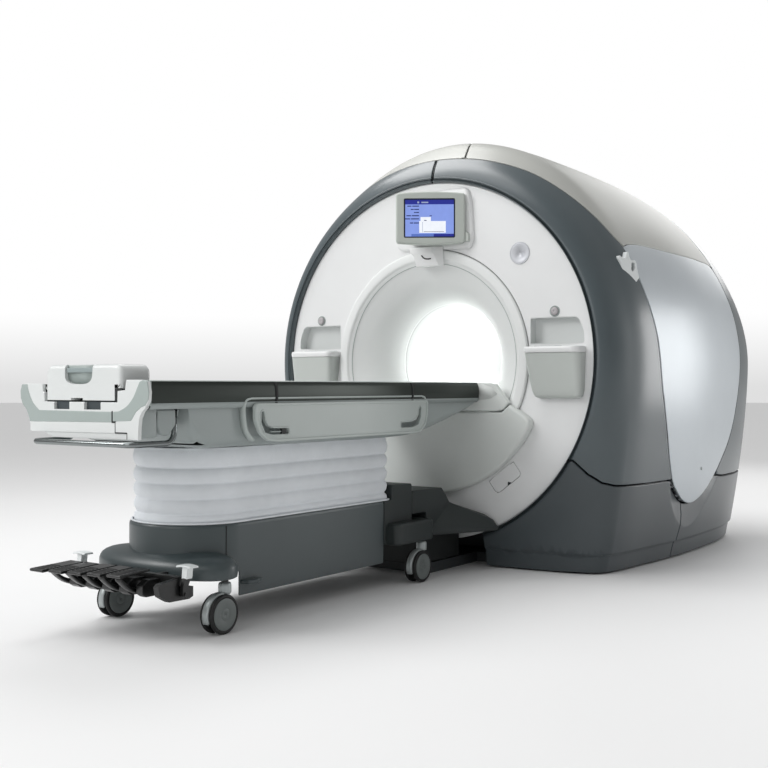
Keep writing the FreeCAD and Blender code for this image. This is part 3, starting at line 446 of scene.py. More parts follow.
def sweep(name, path, radius, seg=16, cap=True):
    """Round tube along points; radius is one number or one for each point."""
    P = np.array(path, float)
    n = len(P)
    T = np.gradient(P, axis=0)
    T /= np.linalg.norm(T, axis=1)[:, None]
    up = np.array([0, 0, 1.0]) if abs(T[0][2]) < 0.9 else np.array([0, 1.0, 0])
    u = np.cross(T[0], up)
    u /= np.linalg.norm(u)
    loops = []
    for i in range(n):
        u = u - T[i] * (u @ T[i])
        u /= np.linalg.norm(u)
        w = np.cross(T[i], u)
        r = radius[i] if hasattr(radius, "__len__") else radius
        loops.append([tuple(P[i] + r * (u * math.cos(2 * math.pi * k / seg) + w * math.sin(2 * math.pi * k / seg))) for k in range(seg)])
    return loops_object(name, loops, cap=(cap, cap), sharp=50)


def boolean(ob, cutter, op="DIFFERENCE", keep=False):
    b = ob.modifiers.new("bool", "BOOLEAN")
    b.operation = op
    b.object = cutter
    b.solver = "EXACT"
    bake(ob)
    if not keep:
        me = cutter.data
        bpy.data.objects.remove(cutter)
        bpy.data.meshes.remove(me)
    return ob


def reshade(ob, sharp=38.0, weighted=True):
    ob.data.polygons.foreach_set("use_smooth", [True] * len(ob.data.polygons))
    ob.data.set_sharp_from_angle(angle=math.radians(sharp))
    if weighted:
        w = ob.modifiers.new("weighted", "WEIGHTED_NORMAL")
        w.keep_sharp = True
        w.weight = 80
        bake(ob)
    return ob


def join(name, *obs):
    """Merge pieces made of one material into one object."""
    bm = bmesh.new()
    for o in obs:
        bm.from_mesh(o.data)
    me = bpy.data.meshes.new(name)
    bm.to_mesh(me)
    bm.free()
    for o in obs:
        old = o.data
        bpy.data.objects.remove(o)
        bpy.data.meshes.remove(old)
    ob = bpy.data.objects.new(name, me)
    COL.objects.link(ob)
    return ob


def mirrored(pts):
    return [(-a, b) for a, b in pts][::-1]


def cubic(xs, ys):
    """Natural cubic spline through knots."""
    xs, ys = np.array(xs, float), np.array(ys, float)
    n = len(xs)
    h = np.diff(xs)
    A = np.eye(n)
    r = np.zeros(n)
    for i in range(1, n - 1):
        A[i, i - 1], A[i, i], A[i, i + 1] = h[i - 1], 2 * (h[i - 1] + h[i]), h[i]
        r[i] = 6 * ((ys[i + 1] - ys[i]) / h[i] - (ys[i] - ys[i - 1]) / h[i - 1])
    m = np.linalg.solve(A, r)

    def f(x):
        x = np.asarray(x, float)
        i = np.clip(np.searchsorted(xs, x) - 1, 0, n - 2)
        a, b = xs[i + 1] - x, x - xs[i]
        hi = h[i]
        return (m[i] * a ** 3 + m[i + 1] * b ** 3) / (6 * hi) + (ys[i] / hi - m[i] * hi / 6) * a + (ys[i + 1] / hi - m[i + 1] * hi / 6) * b
    return f


# ------------------------------------------------------------------ gantry covers
KY = [.140, .220, .360, .500, .675, .850, 1.025, 1.200, 1.375, 1.550, 1.700, 1.830, 1.950, 2.050]
KW = [1.068, 1.089, 1.111, 1.126, 1.146, 1.162, 1.170, 1.170, 1.167, 1.158, 1.140, 1.115, 1.084, 1.050]
KT = [1.130, 1.180, 1.202, 1.203, 1.199, 1.193, 1.187, 1.179, 1.167, 1.145, 1.107, 1.053, .985, .912]
fW, fT = cubic(KY, KW), cubic(KY, KT)
EXP = 2 / 1.97
Y1, Y2 = 0.16, 1.955
LIP = np.array([(0.9555, 0.012), (0.9548, -0.004), (0.9565, -0.0135), (0.9620, -0.0188), (0.9700, -0.0190), (0.9775, -0.0165)])
fLr = cubic(np.linspace(-0.4, 0, len(LIP)), LIP[:, 0])
fLy = cubic(np.linspace(-0.4, 0, len(LIP)), LIP[:, 1])


def hull_at(p, y):
    W, T = fW(y), fT(y)
    a = (1 - np.clip(p, -1, 1)) * math.pi / 2
    c, sn = np.cos(a), np.sin(a)
    t = np.maximum(p - 1, 0)
    x = np.where(p <= 1, W * np.sign(c) * np.abs(c) ** EXP, W * (1 - 0.118 * t ** 1.6))
    z = np.where(p <= 1, ZC + T * np.abs(sn) ** EXP, ZC * (1 - t))
    return np.stack([x, y + 0 * p, z], -1)


def ring_at(p, r, y):
    a = (1 - np.clip(p, -1, 1)) * math.pi / 2
    t = np.maximum(p - 1, 0)
    ang = np.where(p <= 1, a, -np.arctan2(ZC * t, 1.07 * (1 - 0.118 * t ** 1.6)))
    return np.stack([r * np.cos(ang), y + 0 * p, ZC + r * np.sin(ang)], -1), np.stack([np.cos(ang), 0 * p, np.sin(ang)], -1)


def bezier(a, b, c, d, t):
    t = t[..., None]
    return a * (1 - t) ** 3 + 3 * b * t * (1 - t) ** 2 + 3 * c * t * t * (1 - t) + d * t ** 3


def unit(v):
    return v / np.maximum(np.linalg.norm(v, axis=-1, keepdims=True), 1e-12)


def surf(p, s):
    """Outer skin: p runs from the crown (0) past the axis height (1) to the floor (2) and below; s from the lip to the back."""
    p, s = np.broadcast_arrays(np.asarray(p, float), np.asarray(s, float))
    out = np.zeros(p.shape + (3,))
    # lip
    sl = np.clip(s, -0.4, 0)
    lip, _ = ring_at(p, fLr(sl), fLy(sl))
    # front roll
    D, rad = ring_at(p, 0.9775 + 0 * p, -0.0165 + 0 * p)
    E = hull_at(p, Y1 + 0 * p)
    tan = unit(hull_at(p, Y1 + 0.01 + 0 * p) - hull_at(p, Y1 - 0.01 + 0 * p))
    L = np.linalg.norm(E - D, axis=-1, keepdims=True)
    d1 = unit(rad * 0.90 + np.array([0, 0.40, 0]))
    front = bezier(D, D + d1 * np.minimum(0.33 * L, 0.14), E - tan * np.minimum(0.34 * L, 0.11), E, np.clip(s, 0, 1))
    # body
    y = Y1 + (np.clip(s, 1, 2) - 1) * (Y2 - Y1)
    body = hull_at(p, y)
    # back roll
    E2 = hull_at(p, Y2 + 0 * p)
    tan2 = unit(hull_at(p, Y2 + 0.01 + 0 * p) - hull_at(p, Y2 - 0.01 + 0 * p))
    F, rad2 = ring_at(p, 0.802 + 0 * p, 2.048 + 0 * p)
    L2 = np.linalg.norm(F - E2, axis=-1, keepdims=True)
    back = bezier(E2, E2 + tan2 * 0.075, F + rad2 * (0.62 * L2), F, np.clip(s - 2, 0, 1))
    for mask, val in ((s < 0, lip), ((s >= 0) & (s < 1), front), ((s >= 1) & (s < 2), body), (s >= 2, back)):
        out[mask] = val[mask]
    return out


def surf_normal(p, s):
    h = 2e-3
    dp = surf(p + h, s) - surf(p - h, s)
    s0, s1 = np.clip(s - h, -0.4, 3), np.clip(s + h, -0.4, 3)
    ds = surf(p, s1) - surf(p, s0)
    n = unit(np.cross(ds, dp))
    P = surf(p, s)
    out = np.stack([P[..., 0], 0 * P[..., 0], P[..., 2] - ZC], -1) + np.stack([0 * s, (s - 1.0) * 0.5, 0 * s], -1)
    flip = (n * unit(out)).sum(-1) < 0
    n[flip] *= -1
    return n


SEAM = [(.064, 2.160), (.068, 2.140), (.081, 2.118), (.098, 2.080), (.121, 2.034), (.139, 1.975), (.163, 1.895), (.212, 1.765),
        (.255, 1.677), (.291, 1.631), (.325, 1.459),
        (.362, 1.288), (.385, 1.187), (.402, 1.084), (.438, .931), (.463, .865), (.527, .705), (.593, .545), (.650, .439)]
TIP = [(.690, .397), (.730, .368), (.790, .328), (.850, .303), (.915, .292), (.980, .296), (1.060, .318)]
BACK_SEAM = [(1.150, .359), (1.245, .428), (1.330, .505), (1.420, .600), (1.480, .700), (1.530, .851), (1.556, .971), (1.562, 1.102),
             (1.556, 1.260), (1.542, 1.405), (1.518, 1.520), (1.500, 1.600)]
TOP_SEAM = [(1.480, 1.628), (1.430, 1.640), (1.300, 1.646), (1.120, 1.650), (.900, 1.651), (.710, 1.655), (.540, 1.659), (.430, 1.657), (.345, 1.648)]
LOW_SEAM = [(-.100, .640), (-.020, .568), (.020, .500), (.060, .458), (.110, .443), (.170, .440), (.350, .438)]
REAR_LOW = [(1.245, .428), (1.410, .414), (1.690, .412), (1.900, .411), (2.100, .410)]
FOOT_SEAM = [(.850, .303), (.842, .272), (.852, .238), (.842, .196), (.826, .130), (.812, .060), (.800, -.400)]


def smooth_open(pts, per=6):
    return [tuple(q) for q in spline_pts(pts, per)]


S_SEAM, S_BACK, S_TOP = smooth_open(SEAM), smooth_open(BACK_SEAM), smooth_open(TOP_SEAM)
S_TIP = smooth_open([SEAM[-1]] + TIP + [BACK_SEAM[0]])[1:-1]
k6 = min(range(len(S_SEAM)), key=lambda i: abs(S_SEAM[i][1] - 1.631))
kt = min(range(len(S_TIP)), key=lambda i: abs(S_TIP[i][0] - .850))
kb = min(range(len(S_BACK)), key=lambda i: abs(S_BACK[i][0] - 1.245) + abs(S_BACK[i][1] - .428))
W_, N_ = 0.0042, 0.0013   # half widths of the wide dark gaps and of the fine joint
REGIONS = {
    "bezel": [([(-.2, 2.6), (.060, 2.6)], 0), (S_SEAM, .0028), ([(.350, .438)] + LOW_SEAM[::-1][1:] + [(-.2, .70)], W_)],
    "side_panel": [(S_SEAM[k6:], W_), (S_TIP, W_), (S_BACK, W_ * .8), (S_TOP, N_)],
    "top_cover": [([(.060, 2.6)], 0), (S_SEAM[:k6 + 1], .0028), (S_TOP[::-1], N_), ([S_BACK[-1], (1.500, 2.6)], N_)],
    "front_lower_cover": [([(-.2, .70)] + LOW_SEAM, W_), ([S_SEAM[-1]] + S_TIP[:kt + 1], W_), (FOOT_SEAM[1:], W_ * .7), ([(-.2, -.4)], 0)],
    "rear_lower_cover": [(S_TIP[kt:] + S_BACK[:kb + 1], W_), (REAR_LOW[1:], W_), ([(2.3, .410), (2.3, -.4)], 0), (FOOT_SEAM[::-1], W_ * .7)],
    "rear_bezel": [(S_BACK[kb:], W_ * .8), ([(1.500, 2.6), (2.3, 2.6), (2.3, .410)], N_), (REAR_LOW[::-1], W_)],
}
CRESCENT = smooth_open([(.560, .640), (.640, .400), (.700, .290), (.780, .215), (.880, .172), (.980, .172), (1.080, .215),
                        (1.190, .300), (1.330, .440), (1.460, .640)], 5)


def segments(region):
    pts, gaps = [], []
    for line, g in REGIONS[region]:
        for q in line:
            if not pts or math.dist(pts[-1], q) > 1e-6:
                pts.append(q)
                gaps.append(g)
    if math.dist(pts[0], pts[-1]) < 1e-6:
        pts.pop()
        gaps.pop()
    A = np.array(pts)
    B = np.roll(A, -1, 0)
    return A, B, np.array(gaps)


def nearest(yz, A, B):
    d = B - A
    L2 = np.maximum((d * d).sum(1), 1e-12)
    t = np.clip(((yz[:, None, :] - A) * d).sum(2) / L2, 0, 1)
    q = A + t[..., None] * d
    dist = np.linalg.norm(yz[:, None, :] - q, axis=2)
    k = dist.argmin(1)
    i = np.arange(len(yz))
    return dist[i, k], q[i, k], k


def inside(yz, A, B):
    y, z = yz[:, 0][:, None], yz[:, 1][:, None]
    cond = (A[:, 1] > z) != (B[:, 1] > z)
    with np.errstate(divide="ignore", invalid="ignore"):
        x = A[:, 0] + (z - A[:, 1]) * (B[:, 0] - A[:, 0]) / np.where(B[:, 1] == A[:, 1], 1e-12, B[:, 1] - A[:, 1])
    return (cond & (y < x)).sum(1) % 2 == 1


def field(region, P, N, split=None):
    """Distance on the skin to the piece's edge, positive inside it, and the direction towards that edge."""
    A, B, G = segments(region)
    yz = P[:, 1:3]
    dist, q, k = nearest(yz, A, B)
    sign = np.where(inside(yz, A, B), 1.0, -1.0)
    g = np.zeros_like(P)
    g[:, 1:3] = (q - yz) / np.maximum(dist, 1e-9)[:, None]
    out = g - (g * N).sum(1)[:, None] * N
    ln = np.linalg.norm(out, axis=1)
    d = sign * dist / np.maximum(ln, 0.15) - G[k]
    direction = unit(out) * sign[:, None]
    if split is not None:
        dx, e = split(P)
        use = dx < d
        d = np.where(use, dx, d)
        e = unit(e - (e * N).sum(1)[:, None] * N)
        direction = np.where(use[:, None], e, direction)
    return d, direction


def straight(x):
    """Joint in a plane of constant x; what lies beyond it is kept."""
    return lambda P: (P[:, 0] - x, np.tile(np.array([-1.0, 0, 0]), (len(P), 1)))


def slanted(line, gap, side):
    """Joint along (y, x) points; side -1 is worked on mirrored points."""
    ys, xs = np.array(line).T

    def fn(P):
        x, h = side * np.interp(P[:, 1], ys, xs), 0.02
        m = side * (np.interp(P[:, 1] + h, ys, xs) - np.interp(P[:, 1] - h, ys, xs)) / (2 * h)
        n = np.sqrt(1 + m * m)
        return (P[:, 0] - x) / n - gap, np.stack([-1 / n, m / n, 0 * n], 1)
    return fn


P_GRID = np.concatenate([np.linspace(-.17, 0, 11)[:-1], np.linspace(0, 1, 61), np.linspace(1, 2, 41)[1:], np.linspace(2, 3.06, 27)[1:]])
S_GRID = np.concatenate([np.linspace(-0.4, 0, 9), np.linspace(0, 1, 17)[1:], np.linspace(1, 2, 73)[1:], np.linspace(2, 3, 19)[1:]])


def cut_level(bm, fn, level):
    """Split the faces along fn = level, in parameter space."""
    bm.verts.ensure_lookup_table()
    co = np.array([v.co[:2] for v in bm.verts])
    f = fn(co[:, 0], co[:, 1]) - level
    f[np.abs(f) < 2e-5] = 0.0
    for i, v in enumerate(bm.verts):
        v.index = i
    edges = [e for e in bm.edges if f[e.verts[0].index] * f[e.verts[1].index] < 0]
    on = [v for i, v in enumerate(bm.verts) if f[i] == 0.0]
    if edges:
        ia = np.array([e.verts[0].index for e in edges])
        ib = np.array([e.verts[1].index for e in edges])
        a, b = co[ia], co[ib]
        lo, hi = np.zeros(len(edges)), np.ones(len(edges))
        fa = f[ia]
        t = f[ia] / (f[ia] - f[ib])
        for _ in range(5):
            q = a + (b - a) * t[:, None]
            fq = fn(q[:, 0], q[:, 1]) - level
            same = np.sign(fq) == np.sign(fa)
            lo, hi = np.where(same, t, lo), np.where(same, hi, t)
            t = (lo + hi) / 2
        t = np.clip(t, 0.02, 0.98)
        for e, va, tt in zip(edges, [e.verts[0] for e in edges], t):
            _, v = bmesh.utils.edge_split(e, va, float(tt))
            on.append(v)
    if on:
        bmesh.ops.connect_verts(bm, verts=list({v for v in on if v.is_valid}))


def drop(bm, fn, level):
    faces = list(bm.faces)
    c = np.array([f.calc_center_median()[:2] for f in faces])
    bad = fn(c[:, 0], c[:, 1]) < level
    bmesh.ops.delete(bm, geom=[f for f, x in zip(faces, bad) if x], context="FACES")


ROUND = 0.0045


def crescent_depth(P):
    """Bevelled hollow round the lower tip of the side panel."""
    C = np.array(CRESCENT)
    yz = P[:, 1:3]
    dc, _, _ = nearest(yz, C[:-1], C[1:])
    A, B, _ = segments("side_panel")
    ds, _, _ = nearest(yz, A, B)
    ring = np.vstack([C, [(1.46, 1.5), (.45, 1.5)]])
    ins = inside(yz, ring, np.roll(ring, -1, 0))
    return np.where(ins, 0.024 * dc / (dc + ds + 1e-6), 0.0), np.where(ins, dc, -dc)


def cover(name, region, mat, split=0.0015, crescent=False, kick=False, thick=0.014, sides=(1, -1), one=False):
    """Panel of the skin with rounded edges and real thickness."""
    split = split if callable(split) else straight(split)
    A, B, _ = segments(region)
    G = surf(P_GRID[:, None], S_GRID[None, :])
    y0, y1, z0, z1 = A[:, 0].min() - .03, A[:, 0].max() + .03, A[:, 1].min() - .03, A[:, 1].max() + .03
    ok = (G[..., 1] > y0) & (G[..., 1] < y1) & (G[..., 2] > z0) & (G[..., 2] < z1) & (G[..., 2] > -0.05)
    near = split(G.reshape(-1, 3))[0].reshape(G.shape[:2]) > -.05
    ok &= near
    bm = bmesh.new()
    vid = {}
    for i in range(len(P_GRID) - 1):
        for j in range(len(S_GRID) - 1):
            if ok[i:i + 2, j:j + 2].any():
                q = []
                for a, b in ((i, j), (i, j + 1), (i + 1, j + 1), (i + 1, j)):
                    if (a, b) not in vid:
                        vid[a, b] = bm.verts.new((P_GRID[a], S_GRID[b], 0))
                    q.append(vid[a, b])
                bm.faces.new(q)

    def fn(p, s):
        P = surf(p, s)
        return field(region, P, surf_normal(p, s), split)[0]

    def floor_fn(p, s):
        return surf(p, s)[:, 2] - 0.008

    cut_level(bm, fn, 0.0)
    drop(bm, fn, 0.0)
    for lv in (0.0009, 0.0024, ROUND):
        cut_level(bm, fn, lv)
    if A[:, 1].min() < 0:
        cut_level(bm, floor_fn, 0.0)
        drop(bm, floor_fn, 0.0)
        for lv in (0.084, 0.092):
            if kick:
                cut_level(bm, floor_fn, lv)
    if region == "front_lower_cover":
        def dock_fn(p, s):
            return surf(p, s)[:, 0] - 0.335
        cut_level(bm, dock_fn, 0.0)
        drop(bm, dock_fn, 0.0)
    if crescent:
        def cres_fn(p, s):
            return crescent_depth(surf(p, s))[1]
        cut_level(bm, cres_fn, 0.0)
        cut_level(bm, cres_fn, 0.004)
    bm.verts.ensure_lookup_table()
    bm.verts.index_update()
    co = np.array([v.co[:2] for v in bm.verts])
    faces = [[v.index for v in f.verts] for f in bm.faces]
    border = [[v.index for v in e.verts] for e in bm.edges if len(e.link_faces) == 1]
    bm.free()
    P, N = surf(co[:, 0], co[:, 1]), surf_normal(co[:, 0], co[:, 1])
    # normals as shaped: crescent and kick change them, so they are taken from a displaced skin
    def displaced(p, s):
        Q, n = surf(p, s), surf_normal(p, s)
        depth = np.zeros(len(Q))
        if crescent:
            depth = depth + crescent_depth(Q)[0]
        if kick:
            depth = depth + 0.012 * np.clip((0.100 - Q[:, 2]) / 0.008, 0, 1)
        return Q - n * depth[:, None]
    if crescent or kick:
        h = 1.5e-3
        P2 = displaced(co[:, 0], co[:, 1])
        dp = displaced(co[:, 0] + h, co[:, 1]) - displaced(co[:, 0] - h, co[:, 1])
        ds = displaced(co[:, 0], np.clip(co[:, 1] + h, -.4, 3)) - displaced(co[:, 0], np.clip(co[:, 1] - h, -.4, 3))
        N2 = unit(np.cross(ds, dp))
        N2[(N2 * N).sum(1) < 0] *= -1
    else:
        P2, N2 = P, N
    d, toward = field(region, P, N, split)
    d = np.clip(d, 0, ROUND)
    sn = (ROUND - d) / ROUND
    cs = np.sqrt(np.maximum(0, 1 - sn ** 2))
    outer = P2 - N2 * (ROUND * (1 - cs))[:, None]
    nrm = unit(N2 * cs[:, None] + toward * sn[:, None])
    inner = P2 - N2 * thick
    n = len(P)
    # orientation
    f0 = faces[0]
    tri = np.cross(outer[f0[1]] - outer[f0[0]], outer[f0[2]] - outer[f0[0]])
    made = []
    for side in sides:
        V = np.vstack([outer, inner])
        NN = np.vstack([nrm, -N2])
        fs = []
        for f in faces:
            a, b, c = outer[f[0]], outer[f[1]], outer[f[2]]
            up = np.dot(np.cross(b - a, c - b), N2[f[1]]) > 0
            g = f if up else f[::-1]
            fs.append(g)
            fs.append([i + n for i in g[::-1]])
        for a, b in border:
            fs.append([a, b, b + n, a + n])
        if side < 0:
            V = V * np.array([-1, 1, 1])
            NN = NN * np.array([-1, 1, 1])
            fs = [f[::-1] for f in fs]
        label = name + ("_right" if side > 0 else "_left")
        if one:
            made.append((V, NN, fs))
            continue
        ob = mesh_object(label + "_panel", V, fs, NN)
        finish_object(ob, "gantry", mat, label)
        made.append(ob)
    if one:
        V = np.vstack([m[0] for m in made])
        NN = np.vstack([m[1] for m in made])
        fs = made[0][2] + [[i + 2 * n for i in f] for f in made[1][2]]
        ob = mesh_object(name + "_panel", V, fs, NN)
        finish_object(ob, "gantry", mat, name)
    return made


BEZEL_JOINT = [(-.060, .039), (.105, -.012), (.700, -.012)]
TOP_JOINT = [(.050, .180), (.530, .0), (1.600, .0)]
for sx in (1, -1):
    cover("bezel", "bezel", "bezel", split=slanted(BEZEL_JOINT, .006, sx), sides=(sx,))
    cover("top_cover", "top_cover", "top", split=slanted(TOP_JOINT, .0035, sx), sides=(sx,))
cover("side_panel", "side_panel", "panel", thick=0.030)
cover("front_lower_cover", "front_lower_cover", "lower", crescent=True, kick=True)
cover("rear_lower_cover", "rear_lower_cover", "lower", crescent=True, kick=True)
cover("rear_bezel", "rear_bezel", "bezel", split=-0.01, one=True)
# small round lock low on each side panel
for sx in (1, -1):
    lock = turn_x("panel_lock_%s" % ("right" if sx > 0 else "left"),
                  [(.0005, sx * 1.1205), (.0020, sx * 1.1205), (.0030, sx * 1.1215), (.0075, sx * 1.1210), (.0092, sx * 1.1192), (.0096, sx * 1.1160), (.0096, sx * 1.1080),
                   (.0005, sx * 1.1080)], (1.008, .479), 40)
    finish_object(lock, "gantry", "hood", slot="button_grey")


# ------------------------------------------------------------------ disc, bell, bore, back
def rad(d):
    return math.radians(d)


def arc2(cx, cy, r, a0, a1, n):
    return [(cx + r * math.cos(rad(a0 + (a1 - a0) * k / n)), cy + r * math.sin(rad(a0 + (a1 - a0) * k / n))) for k in range(n + 1)]


disc_prof = [(.590, .012), (.590, .0014), (.5914, 0), (.760, 0), (.932, 0)] + arc2(.932, .011, .011, -75, 0, 5) + [(.943, .012)]
disc = revolve("front_disc_face", disc_prof, 240)
DOOR_A = rad(-53.0)
D_RAD, D_TAN = np.array([math.cos(DOOR_A), math.sin(DOOR_A)]), np.array([-math.sin(DOOR_A), math.cos(DOOR_A)])
D_C = np.array([0, ZC]) + D_RAD * 0.712


def door_outline(grow):
    local = fillet([(-.088 - grow, -grow), (.088 + grow, -grow), (.088 + grow, .080 + grow), (-.088 - grow, .080 + grow)],
                   [0.002, 0.002, .024 + grow, .024 + grow], 9)
    return [tuple(D_C + D_TAN * t + D_RAD * r) for t, r in local]


NICHE = fillet([(.5935, 1.139), (.8880, 1.139), (.8860, 1.200), (.8560, 1.272), (.5935, 1.272)], [.004, .012, .10, .034, .010], 8)
for sx in (1, -1):
    pts = [(sx * a, b) for a, b in NICHE]
    disc = boolean(disc, prism("c", "y", pts[::sx], -.01, .03, 0, weighted=False))
    disc = boolean(disc, prism("c", "y", arc2(sx * .730, 1.300, .0232, 0, 345, 23), -.01, .03, 0, weighted=False))
disc = boolean(disc, prism("c", "y", door_outline(.0016), -.01, .03, 0, weighted=False))
disc = boolean(disc, sweep("c", [(q[0], 0.0, q[1]) for q in (D_C - D_TAN * .067, D_C, D_C + D_TAN * .067)], .0045, 16))
reshade(disc, 30)
finish_object(disc, "gantry", "disc", "front_disc")

plate = revolve("blank_plate", [(.001, -.0005), (.047, -.0030), (.0505, -.0030), (.0525, -.0018), (.053, 0), (.053, .0004), (.001, .0004)], 64,
                centre=(.536, 1.600))
finish_object(plate, "gantry", "badge", slot="button_grey")
plate_rim = revolve("blank_plate_ring", [(.0500, -.0022), (.0518, -.0042), (.0545, -.0042), (.0562, -.0022), (.0562, .0004), (.0500, .0004)], 64,
                    centre=(.536, 1.600))
finish_object(plate_rim, "gantry", "badge", slot="button_grey")

front =arc2(.5775, -.0085, .0095, 0, -90, 5) + [(.548, -.018)] + arc2(.548, -.0005, .0175, -90, -152, 6)
inner_run = spline_pts([front[-1], (.517, .0005), (.500, .012), (.470, .030), (.430, .056), (.390, .092), (.352, .142), (.328, .190),
                        (.315, .236)], 6)[1:]
back_run = [(.324, .236), (.338, .195), (.362, .148), (.399, .099), (.438, .064), (.477, .038), (.504, .022), (.520, .012), (.587, .012)]
bell = revolve("front_bell_moulding", [(.587, .000)] + front[1:] + inner_run + back_run, 200, sharp=28)
finish_object(bell, "gantry", "bell", "front_bell")
# fine joint between the raised ring and the bell
groove = revolve("bell_joint", [(.5165, .0012), (.5145, .0022), (.5135, .0010), (.5160, -.0006)], 200, sharp=60)
finish_object(groove, "gantry", "band", slot="bore_white")

tube_in = spline_pts([(.315, .236), (.3065, .280), (.3020, .330), (.3002, .400), (.300, .500)], 5)
tube = revolve("bore_liner", tube_in + [(.300, .700), (.300, 1.300), (.300, 1.834), (.310, 1.834), (.310, 1.000), (.310, .400), (.325, .2365)], 160)
finish_object(tube, "gantry", "bell", "bore_tube")

back_prof = spline_pts([(.300, 1.8365), (.306, 1.852), (.321, 1.882), (.348, 1.930), (.386, 1.974), (.432, 2.006), (.494, 2.030), (.556, 2.0455)], 4) + \
    [(.600, 2.047), (.788, 2.047)] + arc2(.788, 2.038, .009, 90, 0, 4) + \
    [(.797, 2.035), (.560, 2.035), (.500, 2.018), (.440, 1.995), (.396, 1.965), (.357, 1.922), (.329, 1.876), (.313, 1.846), (.307, 1.8365)]
rear = revolve("rear_disc_moulding", back_prof, 200, sharp=28)
finish_object(rear, "gantry", "disc", "rear_disc")

# ------------------------------------------------------------------ fittings on the front
door = prism("door_skin", "y", door_outline(-.0009), -.0004, .007, .0016, 3)
barrel = sweep("c", [(q[0], 0.0, q[1]) for q in (D_C - D_TAN * .065, D_C - D_TAN * .02, D_C + D_TAN * .02, D_C + D_TAN * .065)], .0030, 16)
boolean(door, barrel, "UNION")
reshade(door, 35)
finish_object(door, "access_door", "disc", "access_door")
tri = [D_C + D_TAN * t + D_RAD * r for t, r in ((-.012, .0795), (.016, .0795), (.002, .064))]
latch = prism("door_latch", "y", fillet([tuple(q) for q in tri], .002), -.0022, .001, .0008, 2)
finish_object(latch, "access_door", "dock", slot="disc_white")

# display: rounded housing with a sunk screen, turned outwards on a wedge; its own frame has x = 0 at
# the right edge and y = 0 on the front face
TURN = Matrix.Translation((.244, -.047, 0.0)) @ Matrix.Rotation(rad(33.0), 4, "Z")


def turned(ob):
    ob.data.transform(TURN)
    ob.data.update()
    return ob


hx0, hx1, hz0, hz1 = -.357, 0.0, 1.660, 1.935
BOW = .009
up_bow = [(hx0 + (hx1 - hx0) * k / 12, hz1 - BOW + BOW * math.sin(math.pi * k / 12)) for k in range(13)]
low_bow = [(x, hz0 + BOW - BOW * math.sin(math.pi * (x - hx0) / (hx1 - hx0))) for x, _ in up_bow]
outline = fillet(low_bow + up_bow[::-1], [.016] + [0] * 11 + [.016, .016] + [0] * 11 + [.016], 10)
house = pillow("display_housing_shell", "y", outline, 0.0, .050, .010, .006, 6, sharp=30)
boolean(house, prism("c", "y", fillet([(-.316, 1.695), (-.051, 1.695), (-.051, 1.899), (-.316, 1.899)], .008), -.02, .0078, 0, weighted=False))
reshade(turned(house), 35)
finish_object(house, "gantry", "housing", "display_housing")
lean = prism("display_wedge", "z", fillet([(.1960, -.0185), (-.0590, -.1830), (-.1080, -.0015), (.2050, -.0015)], [.004, .012, .004, .004]), 1.684, 1.911, .010, 4)
finish_object(lean, "gantry", "housing", "display_housing")
tab = prism("display_side_tab", "y", fillet([(.216, 1.677), (.2575, 1.677), (.2575, 1.714), (.246, 1.727), (.216, 1.727)], [.002, .006, .012, .010, .002]), -.0395, -.002, .005, 3)
finish_object(tab, "gantry", "housing", "display_housing")


def screen_bit(name, x, z, level, mat, r=0.0, **k):
    """Flat element of the screen picture; higher levels lie in front."""
    pts = [(x[0], z[0]), (x[1], z[0]), (x[1], z[1]), (x[0], z[1])]
    ob = turned(prism(name, "y", fillet(pts, r) if r else pts, .0058 - .0004 * level, .0076, 0.0002, 1))
    finish_object(ob, "gantry", mat, **(k or {"slot": "screen_glass"}))
    return ob


screen_bit("display_surround", (-.3158, -.0512), (1.6952, 1.8988), 0, "frame_blue", .0078)
screen_bit("display_screen_field", (-.3085, -.0582), (1.7025, 1.8915), 1, "blue_field", replaces="display_screen")
screen_bit("screen_title_bar", (-.3085, -.0582), (1.8680, 1.8915), 2, "blue_bar")
screen_bit("screen_title_mark_1", (-.2460, -.2366), (1.8735, 1.8830), 3, "screen_grey")
screen_bit("screen_title_mark_2", (-.2250, -.1896), (1.8745, 1.8815), 3, "screen_grey")
screen_bit("screen_foot_bar", (-.1614, -.0582), (1.7025, 1.7160), 2, "blue_bar")
screen_bit("screen_foot_light", (-.2767, -.1614), (1.7035, 1.7155), 2, "blue_mid")
for k, (w, z) in enumerate(((.0606, 1.8592), (.0427, 1.8424), (.0257, 1.8265), (.0649, 1.8098), (.0720, 1.7934), (.0470, 1.7721))):
    # each row reads as a few short runs
    x1 = -.2374
    for j, part in enumerate((.58, .36)):
        x0 = x1 - w * part
        screen_bit("screen_row_%d_%d" % (k + 1, j), (x0, x1), (z - .0027, z + .0027), 2, "blue_row")
        x1 = x0 - w * .06
screen_bit("screen_row_7", (-.1828, -.1712), (1.8070, 1.8112), 2, "blue_row")
screen_bit("screen_box_back", (-.2297, -.1763), (1.7805, 1.8027), 2, "screen_white")
screen_bit("screen_box", (-.2362, -.0995), (1.7209, 1.7817), 3, "screen_white")
screen_bit("screen_box_line", (-.2127, -.1080), (1.7262, 1.7284), 4, "blue_row")
screen_bit("screen_box_side", (-.2200, -.2178), (1.7240, 1.7770), 4, "screen_grey")
screen_bit("screen_pointer", (-.2110, -.1985), (1.7832, 1.7872), 4, "blue_row")

# soft pad behind the display, spreading over the disc
pad_out = fillet([(-.205, 1.652), (.256, 1.640), (.274, 1.700), (.262, 1.880), (.240, 1.962), (-.205, 1.962)], [.05, .03, .06, .1, .04, .04], 8)
pad = pillow("display_fairing", "y", pad_out, -.0200, -.0006, .017, 0, 8)
finish_object(pad, "gantry", "disc", slot="disc_white")

